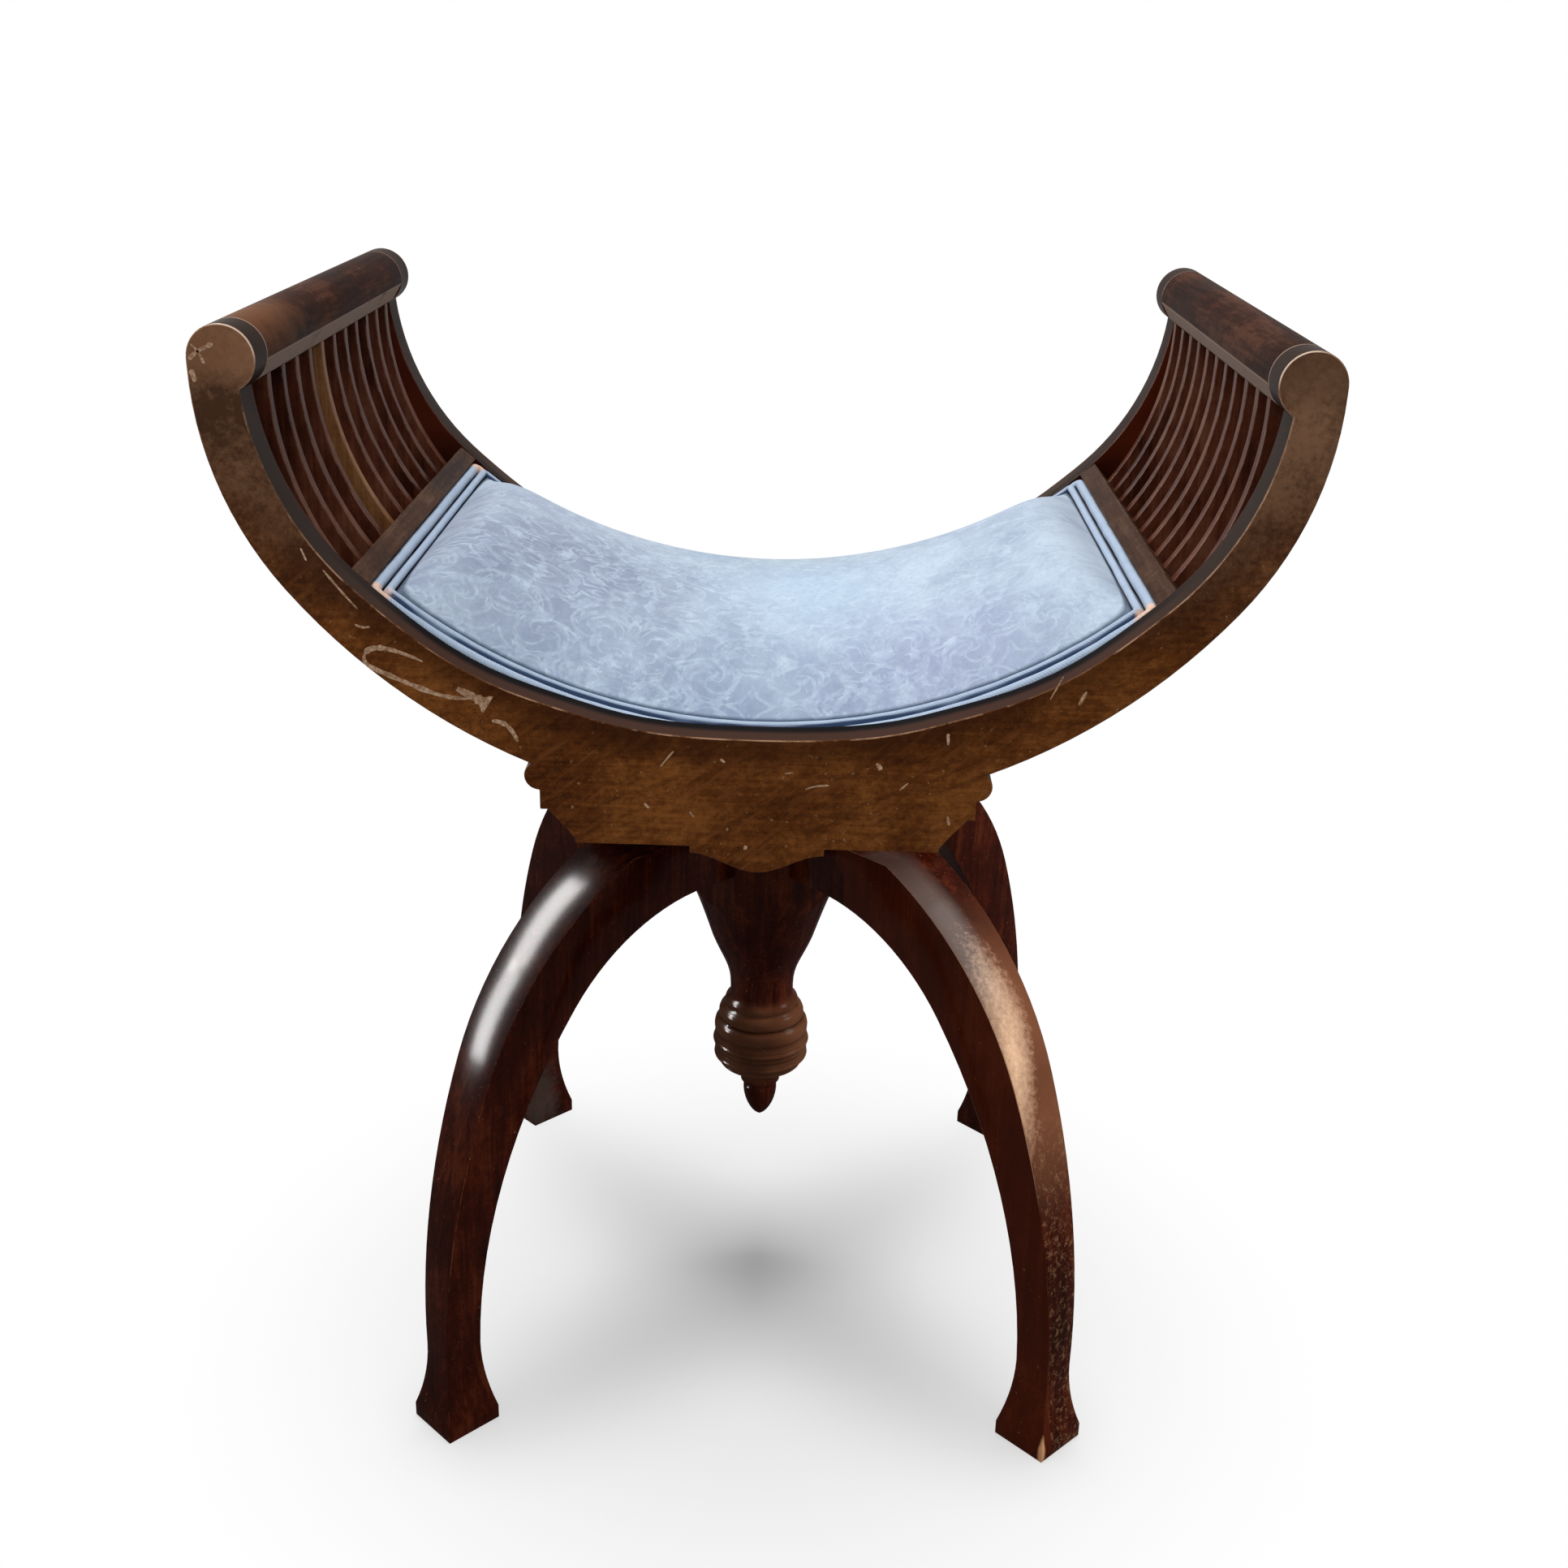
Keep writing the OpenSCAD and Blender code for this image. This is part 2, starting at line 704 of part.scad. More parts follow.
// Side of a leg, with the distance from the axis to the right and the height upwards
foot_x = leg_reach - foot_w / 2;
function mirrored(points, x) = [for (i = [len(points) - 1 : -1 : 0]) [2 * x - points[i][0], points[i][1]]];
outer_flare = flare(outer_ankle, ankle_t);
crown_turn = angle_of(crown_c - shank_c);
arch_turn = angle_of(arch_c - inner_shank_c);
leg_side_points = concat(
    [[hub_leg_r, leg_h]],
    arc(crown_c, crown_r, angle_of([shoulder_r, leg_h] - crown_c), crown_turn, arc_steps),
    arc(shank_c, shank_r, crown_turn * (1 - 1 / arc_steps), 0, arc_steps - 1),
    [for (i = [1 : cove_steps]) outer_flare[i]],
    [[leg_reach, 0], [leg_reach - foot_w, 0]],
    mirrored(outer_flare, foot_x),
    arc(inner_shank_c, inner_shank_r, arch_turn / arc_steps, arch_turn, arc_steps - 1),
    arc(arch_c, arch_r, arch_turn + (90 - arch_turn) / arc_steps, 90, arc_steps - 1),
    [[hub_leg_r, arch_top]]
);

// Front of a leg: its width grows steadily from the ankle to the top
side_flare = flare(ankle_w / 2, ankle_w);
leg_front_points = concat(
    [[leg_top_w / 2, leg_h]],
    side_flare,
    [[foot_w / 2, 0], [-foot_w / 2, 0]],
    mirrored(side_flare, 0),
    [[-leg_top_w / 2, leg_h]]
);

module leg(k) {
    color("#32110c")
        rotate(180 / fork + k * 360 / fork) {
            intersection() {
                translate([0, foot_w, 0])
                    rotate([90, 0, 0])
                        linear_extrude(2 * foot_w)
                            polygon(leg_side_points);
                rotate([90, 0, 90])
                    linear_extrude(leg_reach + over)
                        polygon(leg_front_points);
            }
            tenon();
        }
}

front_board();
back_board();
roll(-1);  // roll_left
roll(1);  // roll_right
rail(-1);  // rail_left
rail(1);  // rail_right
for (i = [1 : slat_count]) {
    slat(-1, i);
    slat(1, i);
}
seat_panel();
bearer(-1);  // bearer_left
bearer(1);  // bearer_right
seat_base();
cushion();
cushion_border();
flange();
screw();
end_nut();
stop_washer();
nut_plate();
hub();
leg(2);  // leg_front_left
leg(3);  // leg_front_right
leg(0);  // leg_back_right
leg(1);  // leg_back_left
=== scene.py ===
import math

import bmesh
import bpy
from mathutils import Matrix, Vector, noise


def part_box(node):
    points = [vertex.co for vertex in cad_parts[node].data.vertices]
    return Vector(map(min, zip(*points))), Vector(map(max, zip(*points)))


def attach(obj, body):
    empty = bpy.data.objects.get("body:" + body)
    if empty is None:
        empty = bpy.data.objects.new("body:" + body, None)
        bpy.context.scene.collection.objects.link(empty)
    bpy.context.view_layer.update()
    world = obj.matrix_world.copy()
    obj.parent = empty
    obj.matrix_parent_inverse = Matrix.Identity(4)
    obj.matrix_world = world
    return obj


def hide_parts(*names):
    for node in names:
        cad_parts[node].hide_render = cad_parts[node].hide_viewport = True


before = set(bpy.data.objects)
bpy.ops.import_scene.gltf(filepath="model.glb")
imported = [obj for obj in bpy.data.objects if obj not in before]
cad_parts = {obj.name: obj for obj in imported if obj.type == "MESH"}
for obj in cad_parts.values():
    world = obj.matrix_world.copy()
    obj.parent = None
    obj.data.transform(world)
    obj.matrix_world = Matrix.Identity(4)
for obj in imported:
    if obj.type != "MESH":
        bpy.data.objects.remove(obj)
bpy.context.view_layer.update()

# The view

# The stool is seen from the front and a little above a sitter's knee, from just over a metre
# away, so the near feet stand lower and look larger than the far ones.
view_height = math.radians(21.31)
view_side = math.radians(0.71)
view_tilt = math.radians(1.33)

backwards = Vector((
    math.sin(view_side) * math.cos(view_height),
    -math.cos(view_side) * math.cos(view_height),
    math.sin(view_height)))
level = Vector((0, 0, 1)).cross(backwards).normalized()
upright = backwards.cross(level)
across = level * math.cos(view_tilt) + upright * math.sin(view_tilt)
upwards = upright * math.cos(view_tilt) - level * math.sin(view_tilt)

lens = bpy.data.cameras.new("stool_view")
lens.sensor_width = 36.0
lens.lens = 42.93
lens.shift_y = -0.0068
lens.clip_start = 0.05
camera = bpy.data.objects.new("stool_view", lens)
camera.matrix_world = Matrix((across, upwards, backwards)).transposed().to_4x4()
camera.location = (0.02496, -1.09527, 0.78532)
bpy.context.scene.collection.objects.link(camera)
bpy.context.scene.camera = camera
bpy.context.scene.view_settings.view_transform = "Standard"


# Studio light and floor

# White paper under a wide soft lamp, with two tall windows on the left, whose streak lies on the
# polished legs, and a weak one on the right for the rubbed leg. The paper fades to plain white.
def linear(code):
    """The linear colour of an sRGB code such as 8a5a3c."""
    parts = [int(code[i:i + 2], 16) / 255 for i in (0, 2, 4)]
    return [p / 12.92 if p <= 0.04045 else ((p + 0.055) / 1.055) ** 2.4 for p in parts] + [1.0]


def add(tree, kind, settings=None, out=0, **inputs):
    """Adds a shader node and gives its output. Settings are a dict, or the name of an operation.
    Inputs go by letter in socket order, or by name, and a colour is given by its sRGB code."""
    made = tree.nodes.new("ShaderNode" + kind)
    if isinstance(settings, str):
        settings = {"operation": settings}
    for name, value in (settings or {}).items():
        setattr(made, name, value)
    for name, value in inputs.items():
        place = "abcdefgh".index(name) if name in "abcdefgh" else name.replace("_", " ")
        if isinstance(value, str):
            value = linear(value)
        if isinstance(value, bpy.types.NodeSocket):
            tree.links.new(value, made.inputs[place])
        else:
            made.inputs[place].default_value = value
    return made.outputs[out] if len(made.outputs) else None


# Settings that many nodes share. A Mix of colours takes them in g and h and gives its output 2.
rgb = {"data_type": "RGBA"}
soft_step = {"interpolation_type": "SMOOTHSTEP"}


def new_material(name):
    made = bpy.data.materials.new(name)
    made.use_nodes = True
    made.node_tree.nodes.clear()
    return made, made.node_tree


def new_piece(name, body, materials=()):
    """Turns a finished bmesh into an object at the origin."""
    mesh = bpy.data.meshes.new(name)
    body.to_mesh(mesh)
    body.free()
    for material in materials:
        mesh.materials.append(material)
    made = bpy.data.objects.new(name, mesh)
    bpy.context.scene.collection.objects.link(made)
    return made


def seen_plainly(tree):
    """1 where the camera sees a thing straight, mirrored or through glass, and 0 for its light."""
    seen = add(tree, "LightPath", out="Is Camera Ray")
    for ray in ("Is Glossy Ray", "Is Transmission Ray"):
        seen = add(tree, "Math", "MAXIMUM", a=seen, b=add(tree, "LightPath", out=ray))
    return seen


# Matt paper: no shine of its own, a soft grey shadow, and plain white farther out
floor_half = 3.0
stool_middle = (0, -0.06, 0)
paper, tree = new_material("white_paper_floor")
place = add(tree, "TexCoord", out="Object")
far = add(tree, "VectorMath", "DISTANCE", out="Value", a=place, b=stool_middle)
fade = add(tree, "MapRange", soft_step, Value=far, From_Min=0.03, From_Max=0.40, To_Min=0.13)
seen = seen_plainly(tree)
# light thrown back at the stool comes off a greyer paper than the one that is seen
tone = add(tree, "Mix", rgb, out=2, a=seen, g="8c8c8c", h="f2f2f2")
lit = add(tree, "BsdfDiffuse", Color=tone)
blank = add(tree, "Emission", Color=(1, 1, 1, 1), Strength=1.0)
seen = add(tree, "Math", "MULTIPLY", a=seen, b=fade)
add(tree, "OutputMaterial", Surface=add(tree, "MixShader", a=seen, b=lit, c=blank))

body = bmesh.new()
bmesh.ops.create_grid(body, x_segments=1, y_segments=1, size=floor_half)
bmesh.ops.translate(body, verts=body.verts, vec=(0, 0, -0.0002))
floor = new_piece("paper_floor", body, [paper])

sky = bpy.data.worlds.new("pale_room")
sky.use_nodes = True
tree = sky.node_tree
tree.nodes.clear()
room = add(tree, "Background", Color=(1, 1, 1, 1), Strength=0.38)
white = add(tree, "Background", Color=(1, 1, 1, 1), Strength=1.0)
add(tree, "OutputWorld", Surface=add(tree, "MixShader", a=seen_plainly(tree), b=room, c=white))
bpy.context.scene.world = sky

# the left windows only shine in the polish; the floor has a lamp of its own, in whose light
# nothing but the legs and the hub casts a shadow
polished = bpy.data.collections.new("polished_wood")
standing = bpy.data.collections.new("legs_and_hub")
papers = bpy.data.collections.new("papers")
papers.objects.link(floor)
all_but_paper = bpy.data.collections.new("all_but_paper")
all_but_paper.objects.link(floor)
all_but_paper.collection_objects[0].light_linking.link_state = "EXCLUDE"
for name, spot, aim, long_way, width, height, watts in (
        ("lamp_above", (-0.50, 0.22, 2.2), (0.0, 0.0, 0.3), (0, 1, 0), 2.0, 2.0, 34.0),
        ("lamp_front", (-0.3, -2.6, 1.6), (0.0, 0.0, 0.4), (0, 0, 1), 2.0, 1.6, 12.0),
        ("floor_lamp", (0.0, 0.14, 2.2), (0.0, 0.14, 0.0), (0, 1, 0), 0.7, 0.7, 28.0),
        ("window_left_high", (-1.415, 0.325, 1.235), (-0.13, -0.13, 0.28), (0.53, 0.51, 0.47),
         0.36, 0.87, 300.0),
        ("window_left_low", (-1.77, -0.03, 0.625), (-0.15, -0.15, 0.20), (0.18, 0.20, 0.75),
         0.33, 0.80, 245.0),
        ("window_right", (1.28, 0.02, 1.26), (0.12, -0.12, 0.25), (-0.63, 0.61, 0.51), 0.42, 0.9, 26.0)):
    lamp = bpy.data.lights.new(name, "AREA")
    lamp.shape = "RECTANGLE"
    lamp.size = width
    lamp.size_y = height
    lamp.energy = watts
    holder = bpy.data.objects.new(name, lamp)
    away = (Vector(spot) - Vector(aim)).normalized()
    wide_way = Vector(long_way).cross(away).normalized()
    holder.matrix_world = Matrix((wide_way, away.cross(wide_way), away)).transposed().to_4x4()
    holder.location = spot
    bpy.context.scene.collection.objects.link(holder)
    if name.startswith("window"):
        # the right one is only there for the rubbed leg
        holder.light_linking.receiver_collection = standing if name.endswith("right") else polished
        holder.visible_diffuse = name.endswith("right")
    if name.startswith("lamp"):
        holder.light_linking.receiver_collection = all_but_paper
    if name.startswith("floor"):
        holder.light_linking.receiver_collection = papers
        holder.light_linking.blocker_collection = standing


# Legs and hub

# Four legs bandsawn from thick mahogany and tenoned into a turned hub with a ringed drop. All
# are stained a black-red and French polished; the right front leg is rubbed to the wood.
def eased(node, ease, crease=28, steps=3, domed=False):
    """A copy of a solid with its sharp corners rounded by a plane. The rounding is marked."""
    body = bmesh.new()
    body.from_mesh(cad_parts[node].data)
    bmesh.ops.remove_doubles(body, verts=body.verts, dist=1e-6)
    bmesh.ops.dissolve_limit(body, angle_limit=math.radians(0.4), verts=body.verts, edges=body.edges)
    mark = body.faces.layers.float.new("corner")
    sharp = [edge for edge in body.edges
             if len(edge.link_faces) == 2 and edge.calc_face_angle(0) > math.radians(crease)]
    if ease:
        rounded = bmesh.ops.bevel(body, geom=sharp, offset=ease, offset_type="OFFSET", affect="EDGES",
                                  segments=steps, profile=0.5, clamp_overlap=True, material=-1)
        for face in rounded["faces"]:
            face[mark] = 1.0
    bmesh.ops.recalc_face_normals(body, faces=body.faces)
    piece = new_piece(node + "_eased", body)
    piece.data.shade_smooth()
    piece.data.set_sharp_from_angle(angle=math.radians(32))
    if not domed:
        # flat faces keep their own direction, so only the rounded corners turn the light
        flat_faces = piece.modifiers.new("flat_faces", "WEIGHTED_NORMAL")
        flat_faces.keep_sharp = True
    polished.objects.link(piece)
    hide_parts(node)
    return piece


def stained(tree, grain, dark, mid, light, figure=0.35, cloud=0.4, mottle=0.35):
    """Stain over wood: fibres fourteen times as long as wide along grain, a figure, and patches."""
    fibres = 0.25
    middle = 0.55
    here = add(tree, "TexCoord", out="Object")
    # a Scale counts the marks in a metre: fibres 2 mm wide, as fine as the render shows, a figure
    # of 9 mm, patches of 60 mm and flecks of 4 mm
    fibre = add(tree, "Mapping", Vector=here, Scale=[1 / 14 if axis == grain else 1.0 for axis in "xyz"])
    fine = add(tree, "TexNoise", Vector=fibre, Scale=520.0, Detail=4.0, Roughness=0.6)
    broad = add(tree, "TexNoise", Vector=fibre, Scale=110.0, Detail=3.0, Distortion=0.8)
    patch = add(tree, "TexNoise", Vector=here, Scale=16.0, Detail=3.0, Roughness=0.6)
    fleck = add(tree, "TexNoise", Vector=here, Scale=260.0, Detail=6.0, Roughness=0.8)
    tone = add(tree, "Math", "MULTIPLY_ADD", a=broad, b=figure, c=0.5 - 0.5 * figure)
    for share, pattern in ((fibres, fine), (cloud, patch), (mottle, fleck)):
        tone = add(tree, "Math", "MULTIPLY_ADD", a=pattern, b=share, c=tone)
    mean = 0.5 + 0.5 * (fibres + cloud + mottle)
    tone = add(tree, "MapRange", Value=tone, From_Min=mean - 0.13, From_Max=mean + 0.13)
    under = add(tree, "MapRange", Value=tone, From_Max=middle)
    over = add(tree, "MapRange", Value=tone, From_Min=middle)
    colour = add(tree, "Mix", rgb, out=2, a=under, g=dark, h=mid)
    colour = add(tree, "Mix", rgb, out=2, a=over, g=colour, h=light)
    return here, fine, patch, fleck, colour


marked = {"attribute_name": "corner"}


def rubbed(tree, colour, here, pale, share, only=1.0):
    """Stain worn off the marked corners in broken lengths, down to pale wood; on a roll's marked flat the
    pale is a painted reflection instead.
    """
    corner = add(tree, "Attribute", marked, out="Fac")
    corner = add(tree, "Math", "MULTIPLY", a=corner, b=only)
    gaps = add(tree, "TexNoise", Vector=here, Scale=40.0, Detail=5.0, Roughness=0.7)
    gaps = add(tree, "MapRange", Value=gaps, From_Min=0.66 - 0.32 * share, From_Max=0.78 - 0.28 * share)
    bare = add(tree, "Math", "MULTIPLY", a=corner, b=gaps)
    return bare, add(tree, "Mix", rgb, out=2, a=bare, g=colour, h=pale)


def patch_near(tree, here, spot, reach, noise_scale, soft):
    """1 at spot, falling to 0 at reach, with a ragged rim."""
    off = add(tree, "VectorMath", "SUBTRACT", a=here, b=spot)
    off = add(tree, "VectorMath", "DIVIDE", a=off, b=reach)
    off = add(tree, "VectorMath", "LENGTH", out="Value", a=off)
    rag = add(tree, "TexNoise", Vector=here, Scale=noise_scale, Detail=5.0, Roughness=0.7)
    off = add(tree, "Math", "MULTIPLY_ADD", a=rag, b=-1.1, c=off)
    return add(tree, "MapRange", Value=off, From_Min=0.45, From_Max=0.45 - soft)


def polish(tree, colour, rough, height, bare, gloss, coat, shine, depth=0.00006):
    """Shellac over the stain: a thin hard coat, duller where the wood is bare."""
    rough = add(tree, "MapRange", Value=rough, From_Min=0.3, From_Max=0.7, To_Min=gloss - 0.06,
                To_Max=gloss + 0.08)
    rough = add(tree, "Math", "MULTIPLY_ADD", a=bare, b=0.3, c=rough)
    bump = add(tree, "Bump", Strength=0.4, Distance=depth, Height=height)
    add(tree, "OutputMaterial", Surface=add(
        tree, "BsdfPrincipled", Base_Color=colour, Roughness=rough, Normal=bump, IOR=1.5,
        Specular_IOR_Level=shine, Coat_Weight=coat, Coat_Roughness=0.16))


# Black-red shellac over mahogany: deep, wet streaks of light over a hardly visible grain
leg_polish, tree = new_material("black_red_shellac_on_mahogany")
here, fine, cloudy, fleck, colour = stained(tree, "z", "1c0702", "340f06", "50210f", cloud=0.5, mottle=0.3)
bare, colour = rubbed(tree, colour, here, "7c4527", 0.45)
# the wear of the right front leg is laid out in the leg's own plane: how far out, how far aside,
# and how deep under its rounded back, an arc whose centre stands 41 mm out and 160 mm up
diagonal = 0.7071
arc_out = 0.0411
arc_up = 0.160
arc_r = 0.200
x, y, up = (add(tree, "SeparateXYZ", out=axis, Vector=here) for axis in "XYZ")
out = add(tree, "Math", "SUBTRACT", a=x, b=y)
out = add(tree, "Math", "MULTIPLY", a=out, b=diagonal)
aside = add(tree, "Math", "ADD", a=x, b=y)
aside = add(tree, "Math", "MULTIPLY", a=aside, b=diagonal)
from_arc = add(tree, "CombineXYZ", X=add(tree, "Math", "SUBTRACT", a=out, b=arc_out),
               Y=add(tree, "Math", "SUBTRACT", a=up, b=arc_up))
from_arc = add(tree, "VectorMath", "LENGTH", out="Value", a=from_arc)
under = add(tree, "Math", "SUBTRACT", a=arc_r, b=from_arc)
under = add(tree, "Math", "MAXIMUM", a=under, b=0.0)
right = add(tree, "Math", "GREATER_THAN", a=out, b=0.09)
# the legs taper, so their sides lean in by 36 mm in a metre
taper = 0.036
inner_side = -0.0084
back_from = -0.0078
lean = add(tree, "Math", "MULTIPLY_ADD", a=up, b=taper, c=aside)
on_back = add(tree, "MapRange", Value=lean, From_Min=inner_side, From_Max=back_from)
on_back = add(tree, "Math", "MULTIPLY", a=on_back, b=right)
# the stain is thin and redder on its inner side
thin = add(tree, "MapRange", Value=lean, From_Min=back_from, From_Max=inner_side, To_Max=0.45)
thin = add(tree, "Math", "MULTIPLY", a=right, b=thin)
colour = add(tree, "Mix", rgb, out=2, a=thin, g=colour, h="54200e")
# its back is rubbed brown between the two ends
outermost = add(tree, "MapRange", Value=under, From_Min=0.004, From_Max=0.001)
face = add(tree, "MapRange", Value=cloudy, From_Min=0.3, From_Max=0.6, To_Min=0.7)
for mask in (add(tree, "MapRange", soft_step, Value=up, From_Min=0.145, From_Max=0.215),
             add(tree, "MapRange", soft_step, Value=up, From_Min=0.335, From_Max=0.275),
             outermost, on_back):
    face = add(tree, "Math", "MULTIPLY", a=face, b=mask)
colour = add(tree, "Mix", rgb, out=2, a=face, g=colour, h="774a33")
# a grey sheen painted on the old polish above it, along the near edge: a painted highlight
painted_sheen = add(tree, "MapRange", soft_step, Value=up, From_Min=0.240, From_Max=0.295, To_Max=0.9)
for mask in (add(tree, "MapRange", Value=up, From_Min=0.352, From_Max=0.330),
             add(tree, "MapRange", Value=aside, From_Min=0.006, From_Max=-0.006),
             add(tree, "MapRange", Value=under, From_Min=0.009, From_Max=0.006), on_back):
    painted_sheen = add(tree, "Math", "MULTIPLY", a=painted_sheen, b=mask)
colour = add(tree, "Mix", rgb, out=2, a=painted_sheen, g=colour, h="63534d")
# bare wood from the middle of the face, high up, to its near edge, lower down: a ragged oval,
# 76 of whose half widths, 21 half heights and 80 depths go into a metre
bare_up = 0.250
in_a_metre = (76, 21, 80)
centre = add(tree, "MapRange", Value=up, From_Min=0.215, From_Max=0.275, To_Min=-0.0170, To_Max=-0.004)
from_bare = add(tree, "CombineXYZ", X=add(tree, "Math", "SUBTRACT", a=aside, b=centre),
                Y=add(tree, "Math", "SUBTRACT", a=up, b=bare_up), Z=under)
from_bare = add(tree, "VectorMath", "MULTIPLY", a=from_bare, b=in_a_metre)
from_bare = add(tree, "VectorMath", "LENGTH", out="Value", a=from_bare)
worn_leg = add(tree, "Math", "MULTIPLY_ADD", a=fleck, b=-2.2, c=from_bare)
worn_leg = add(tree, "Math", "MULTIPLY_ADD", a=cloudy, b=-0.8, c=worn_leg)
worn_leg = add(tree, "MapRange", Value=worn_leg, From_Min=-0.15, From_Max=-1.75)
worn_leg = add(tree, "Math", "MULTIPLY", a=worn_leg, b=on_back)
colour = add(tree, "Mix", rgb, out=2, a=worn_leg, g=colour, h="e4bc9a")
# the near corner beside it is painted pale all along, partly rubbed wood and partly a painted highlight that
# lightens the shade on its rounding
edge = add(tree, "MapRange", Value=up, From_Min=0.315, From_Max=0.260, To_Min=0.4, To_Max=0.9)
for mask in (add(tree, "Attribute", marked, out="Fac"), right,
             add(tree, "MapRange", Value=lean, From_Min=-0.0060, From_Max=-0.0068),
             add(tree, "MapRange", Value=up, From_Min=0.165, From_Max=0.200)):
    edge = add(tree, "Math", "MULTIPLY", a=edge, b=mask)
colour = add(tree, "Mix", rgb, out=2, a=edge, g=colour, h="b98e6e")
# lower down only specks of it are left
low_face = add(tree, "MapRange", Value=fleck, From_Min=0.52, From_Max=0.66, To_Max=0.6)
for mask in (add(tree, "MapRange", Value=up, From_Min=0.235, From_Max=0.195), outermost, on_back):
    low_face = add(tree, "Math", "MULTIPLY", a=low_face, b=mask)
colour = add(tree, "Mix", rgb, out=2, a=low_face, g=colour, h="8d6b4d")
# this leg's toe is chipped to the wood, and dust has caked on the left back foot
worn_foot = patch_near(tree, here, (0.1768, -0.2022, 0.012), (0.0035, 0.0035, 0.034), 70.0, 0.5)
colour = add(tree, "Mix", rgb, out=2, a=worn_foot, g=colour, h="d39a70")
dust = patch_near(tree, here, (-0.1768, 0.1513, 0.024), (0.03, 0.03, 0.045), 120.0, 0.5)
dust = add(tree, "Math", "MULTIPLY", a=dust, b=0.4)
colour = add(tree, "Mix", rgb, out=2, a=dust, g=colour, h="57504a")
# pale specks all over, where the polish is nicked
speck = add(tree, "TexNoise", Vector=here, Scale=420.0, Detail=2.0)
speck = add(tree, "MapRange", Value=speck, From_Min=0.73, From_Max=0.78, To_Max=0.8)
colour = add(tree, "Mix", rgb, out=2, a=speck, g=colour, h="8a6a50")
bare = add(tree, "Math", "MAXIMUM", a=bare, b=worn_leg)
# the stain is thinner on the rings of the turned drop
from_axis = add(tree, "VectorMath", "MULTIPLY", a=here, b=(1, 1, 0))
from_axis = add(tree, "VectorMath", "LENGTH", out="Value", a=from_axis)
rings = add(tree, "MapRange", Value=cloudy, From_Min=0.35, From_Max=0.65, To_Min=0.3)
for mask in (add(tree, "MapRange", Value=up, From_Min=0.206, From_Max=0.196),
             add(tree, "MapRange", Value=up, From_Min=0.138, From_Max=0.150),
             add(tree, "MapRange", Value=from_axis, From_Min=0.040, From_Max=0.034)):
    rings = add(tree, "Math", "MULTIPLY", a=rings, b=mask)
colour = add(tree, "Mix", rgb, out=2, a=rings, g=colour, h="65402b")
# the grooves between the rings are darkened where ambient occlusion is low: painted shade
groove_shade = add(tree, "AmbientOcclusion", {"samples": 8, "only_local": True}, out="AO", Distance=0.004)
groove_shade = add(tree, "MapRange", Value=groove_shade, From_Min=0.92, From_Max=0.6)
groove_shade = add(tree, "Math", "MULTIPLY", a=groove_shade, b=rings)
colour = add(tree, "Mix", rgb, out=2, a=groove_shade, g=colour, h="140502")
polish(tree, colour, cloudy, fine, bare, gloss=0.24, coat=0.045, shine=0.0)

for corner in ("front_left", "front_right", "back_right", "back_left"):
    # scraped and rubbed by hand, so the faces are very slightly domed
    leg = eased("leg_" + corner, 0.0014, domed=True)
    leg.data.materials.append(leg_polish)
    standing.objects.link(leg)
    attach(leg, "base")
hub = eased("hub", 0.0)
body = bmesh.new()
body.from_mesh(hub.data)
# fine beads turned on the drop, as (radius, height, half width)
for radius, height, half in ((0.0297, 0.1702, 0.0019), (0.0290, 0.1600, 0.0018), (0.0255, 0.1545, 0.0016)):
    bead = bmesh.ops.create_circle(body, segments=12, radius=half)
    bmesh.ops.rotate(body, verts=bead["verts"], cent=(0, 0, 0),
                     matrix=Matrix.Rotation(math.radians(90), 3, "X"))
    bmesh.ops.translate(body, verts=bead["verts"], vec=(radius, 0, height))
    edges = dict.fromkeys(edge for vert in bead["verts"] for edge in vert.link_edges)
    bmesh.ops.spin(body, geom=bead["verts"] + list(edges), cent=(0, 0, 0), axis=(0, 0, 1),
                   angle=math.radians(360), steps=72, use_merge=True)
for face in body.faces:
    face.smooth = True
body.to_mesh(hub.data)
body.free()
hub.data.materials.append(leg_polish)
standing.objects.link(hub)
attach(hub, "base")


# Screw, nut plate and flange

# A cast iron plate with a threaded barrel is let into the hub, and a steel screw hangs from a
# cast flange under the seat, so that the seat climbs 6 mm with each turn.

# Foundry-black iron: dark and grainy, with a dull sheen
black_iron, tree = new_material("blackened_cast_iron")
here = add(tree, "TexCoord", out="Object")
grit = add(tree, "TexNoise", Vector=here, Scale=900.0, Detail=4.0)
rust = add(tree, "TexNoise", Vector=here, Scale=45.0, Detail=5.0, Roughness=0.7)
rust = add(tree, "MapRange", Value=rust, From_Min=0.55, From_Max=0.72, To_Max=0.7)
colour = add(tree, "Mix", rgb, out=2, a=rust, g="232324", h="3d2a20")
bump = add(tree, "Bump", Strength=0.5, Distance=0.0002, Height=grit)
add(tree, "OutputMaterial", Surface=add(tree, "BsdfPrincipled", Base_Color=colour, Metallic=0.6,
                                        Roughness=0.55, Normal=bump))

# Oiled steel: brighter on the crests of the thread, brown oil in its roots
screw_r = 0.010
thread_depth = 0.0013
oiled_steel, tree = new_material("oiled_turned_steel")
here = add(tree, "TexCoord", out="Object")
flat = add(tree, "VectorMath", "MULTIPLY", a=here, b=(1, 1, 0))
out_from_axis = add(tree, "VectorMath", "LENGTH", out="Value", a=flat)
crest = add(tree, "MapRange", Value=out_from_axis, From_Min=screw_r - 0.0012, From_Max=screw_r - 0.0002)
colour = add(tree, "Mix", rgb, out=2, a=crest, g="3a3029", h="8d8a86")
scuff = add(tree, "TexNoise", Vector=here, Scale=300.0, Detail=3.0)
scuff = add(tree, "MapRange", Value=scuff, To_Min=0.25, To_Max=0.45)
add(tree, "OutputMaterial", Surface=add(tree, "BsdfPrincipled", Base_Color=colour, Metallic=0.9,
                                        Roughness=scuff))

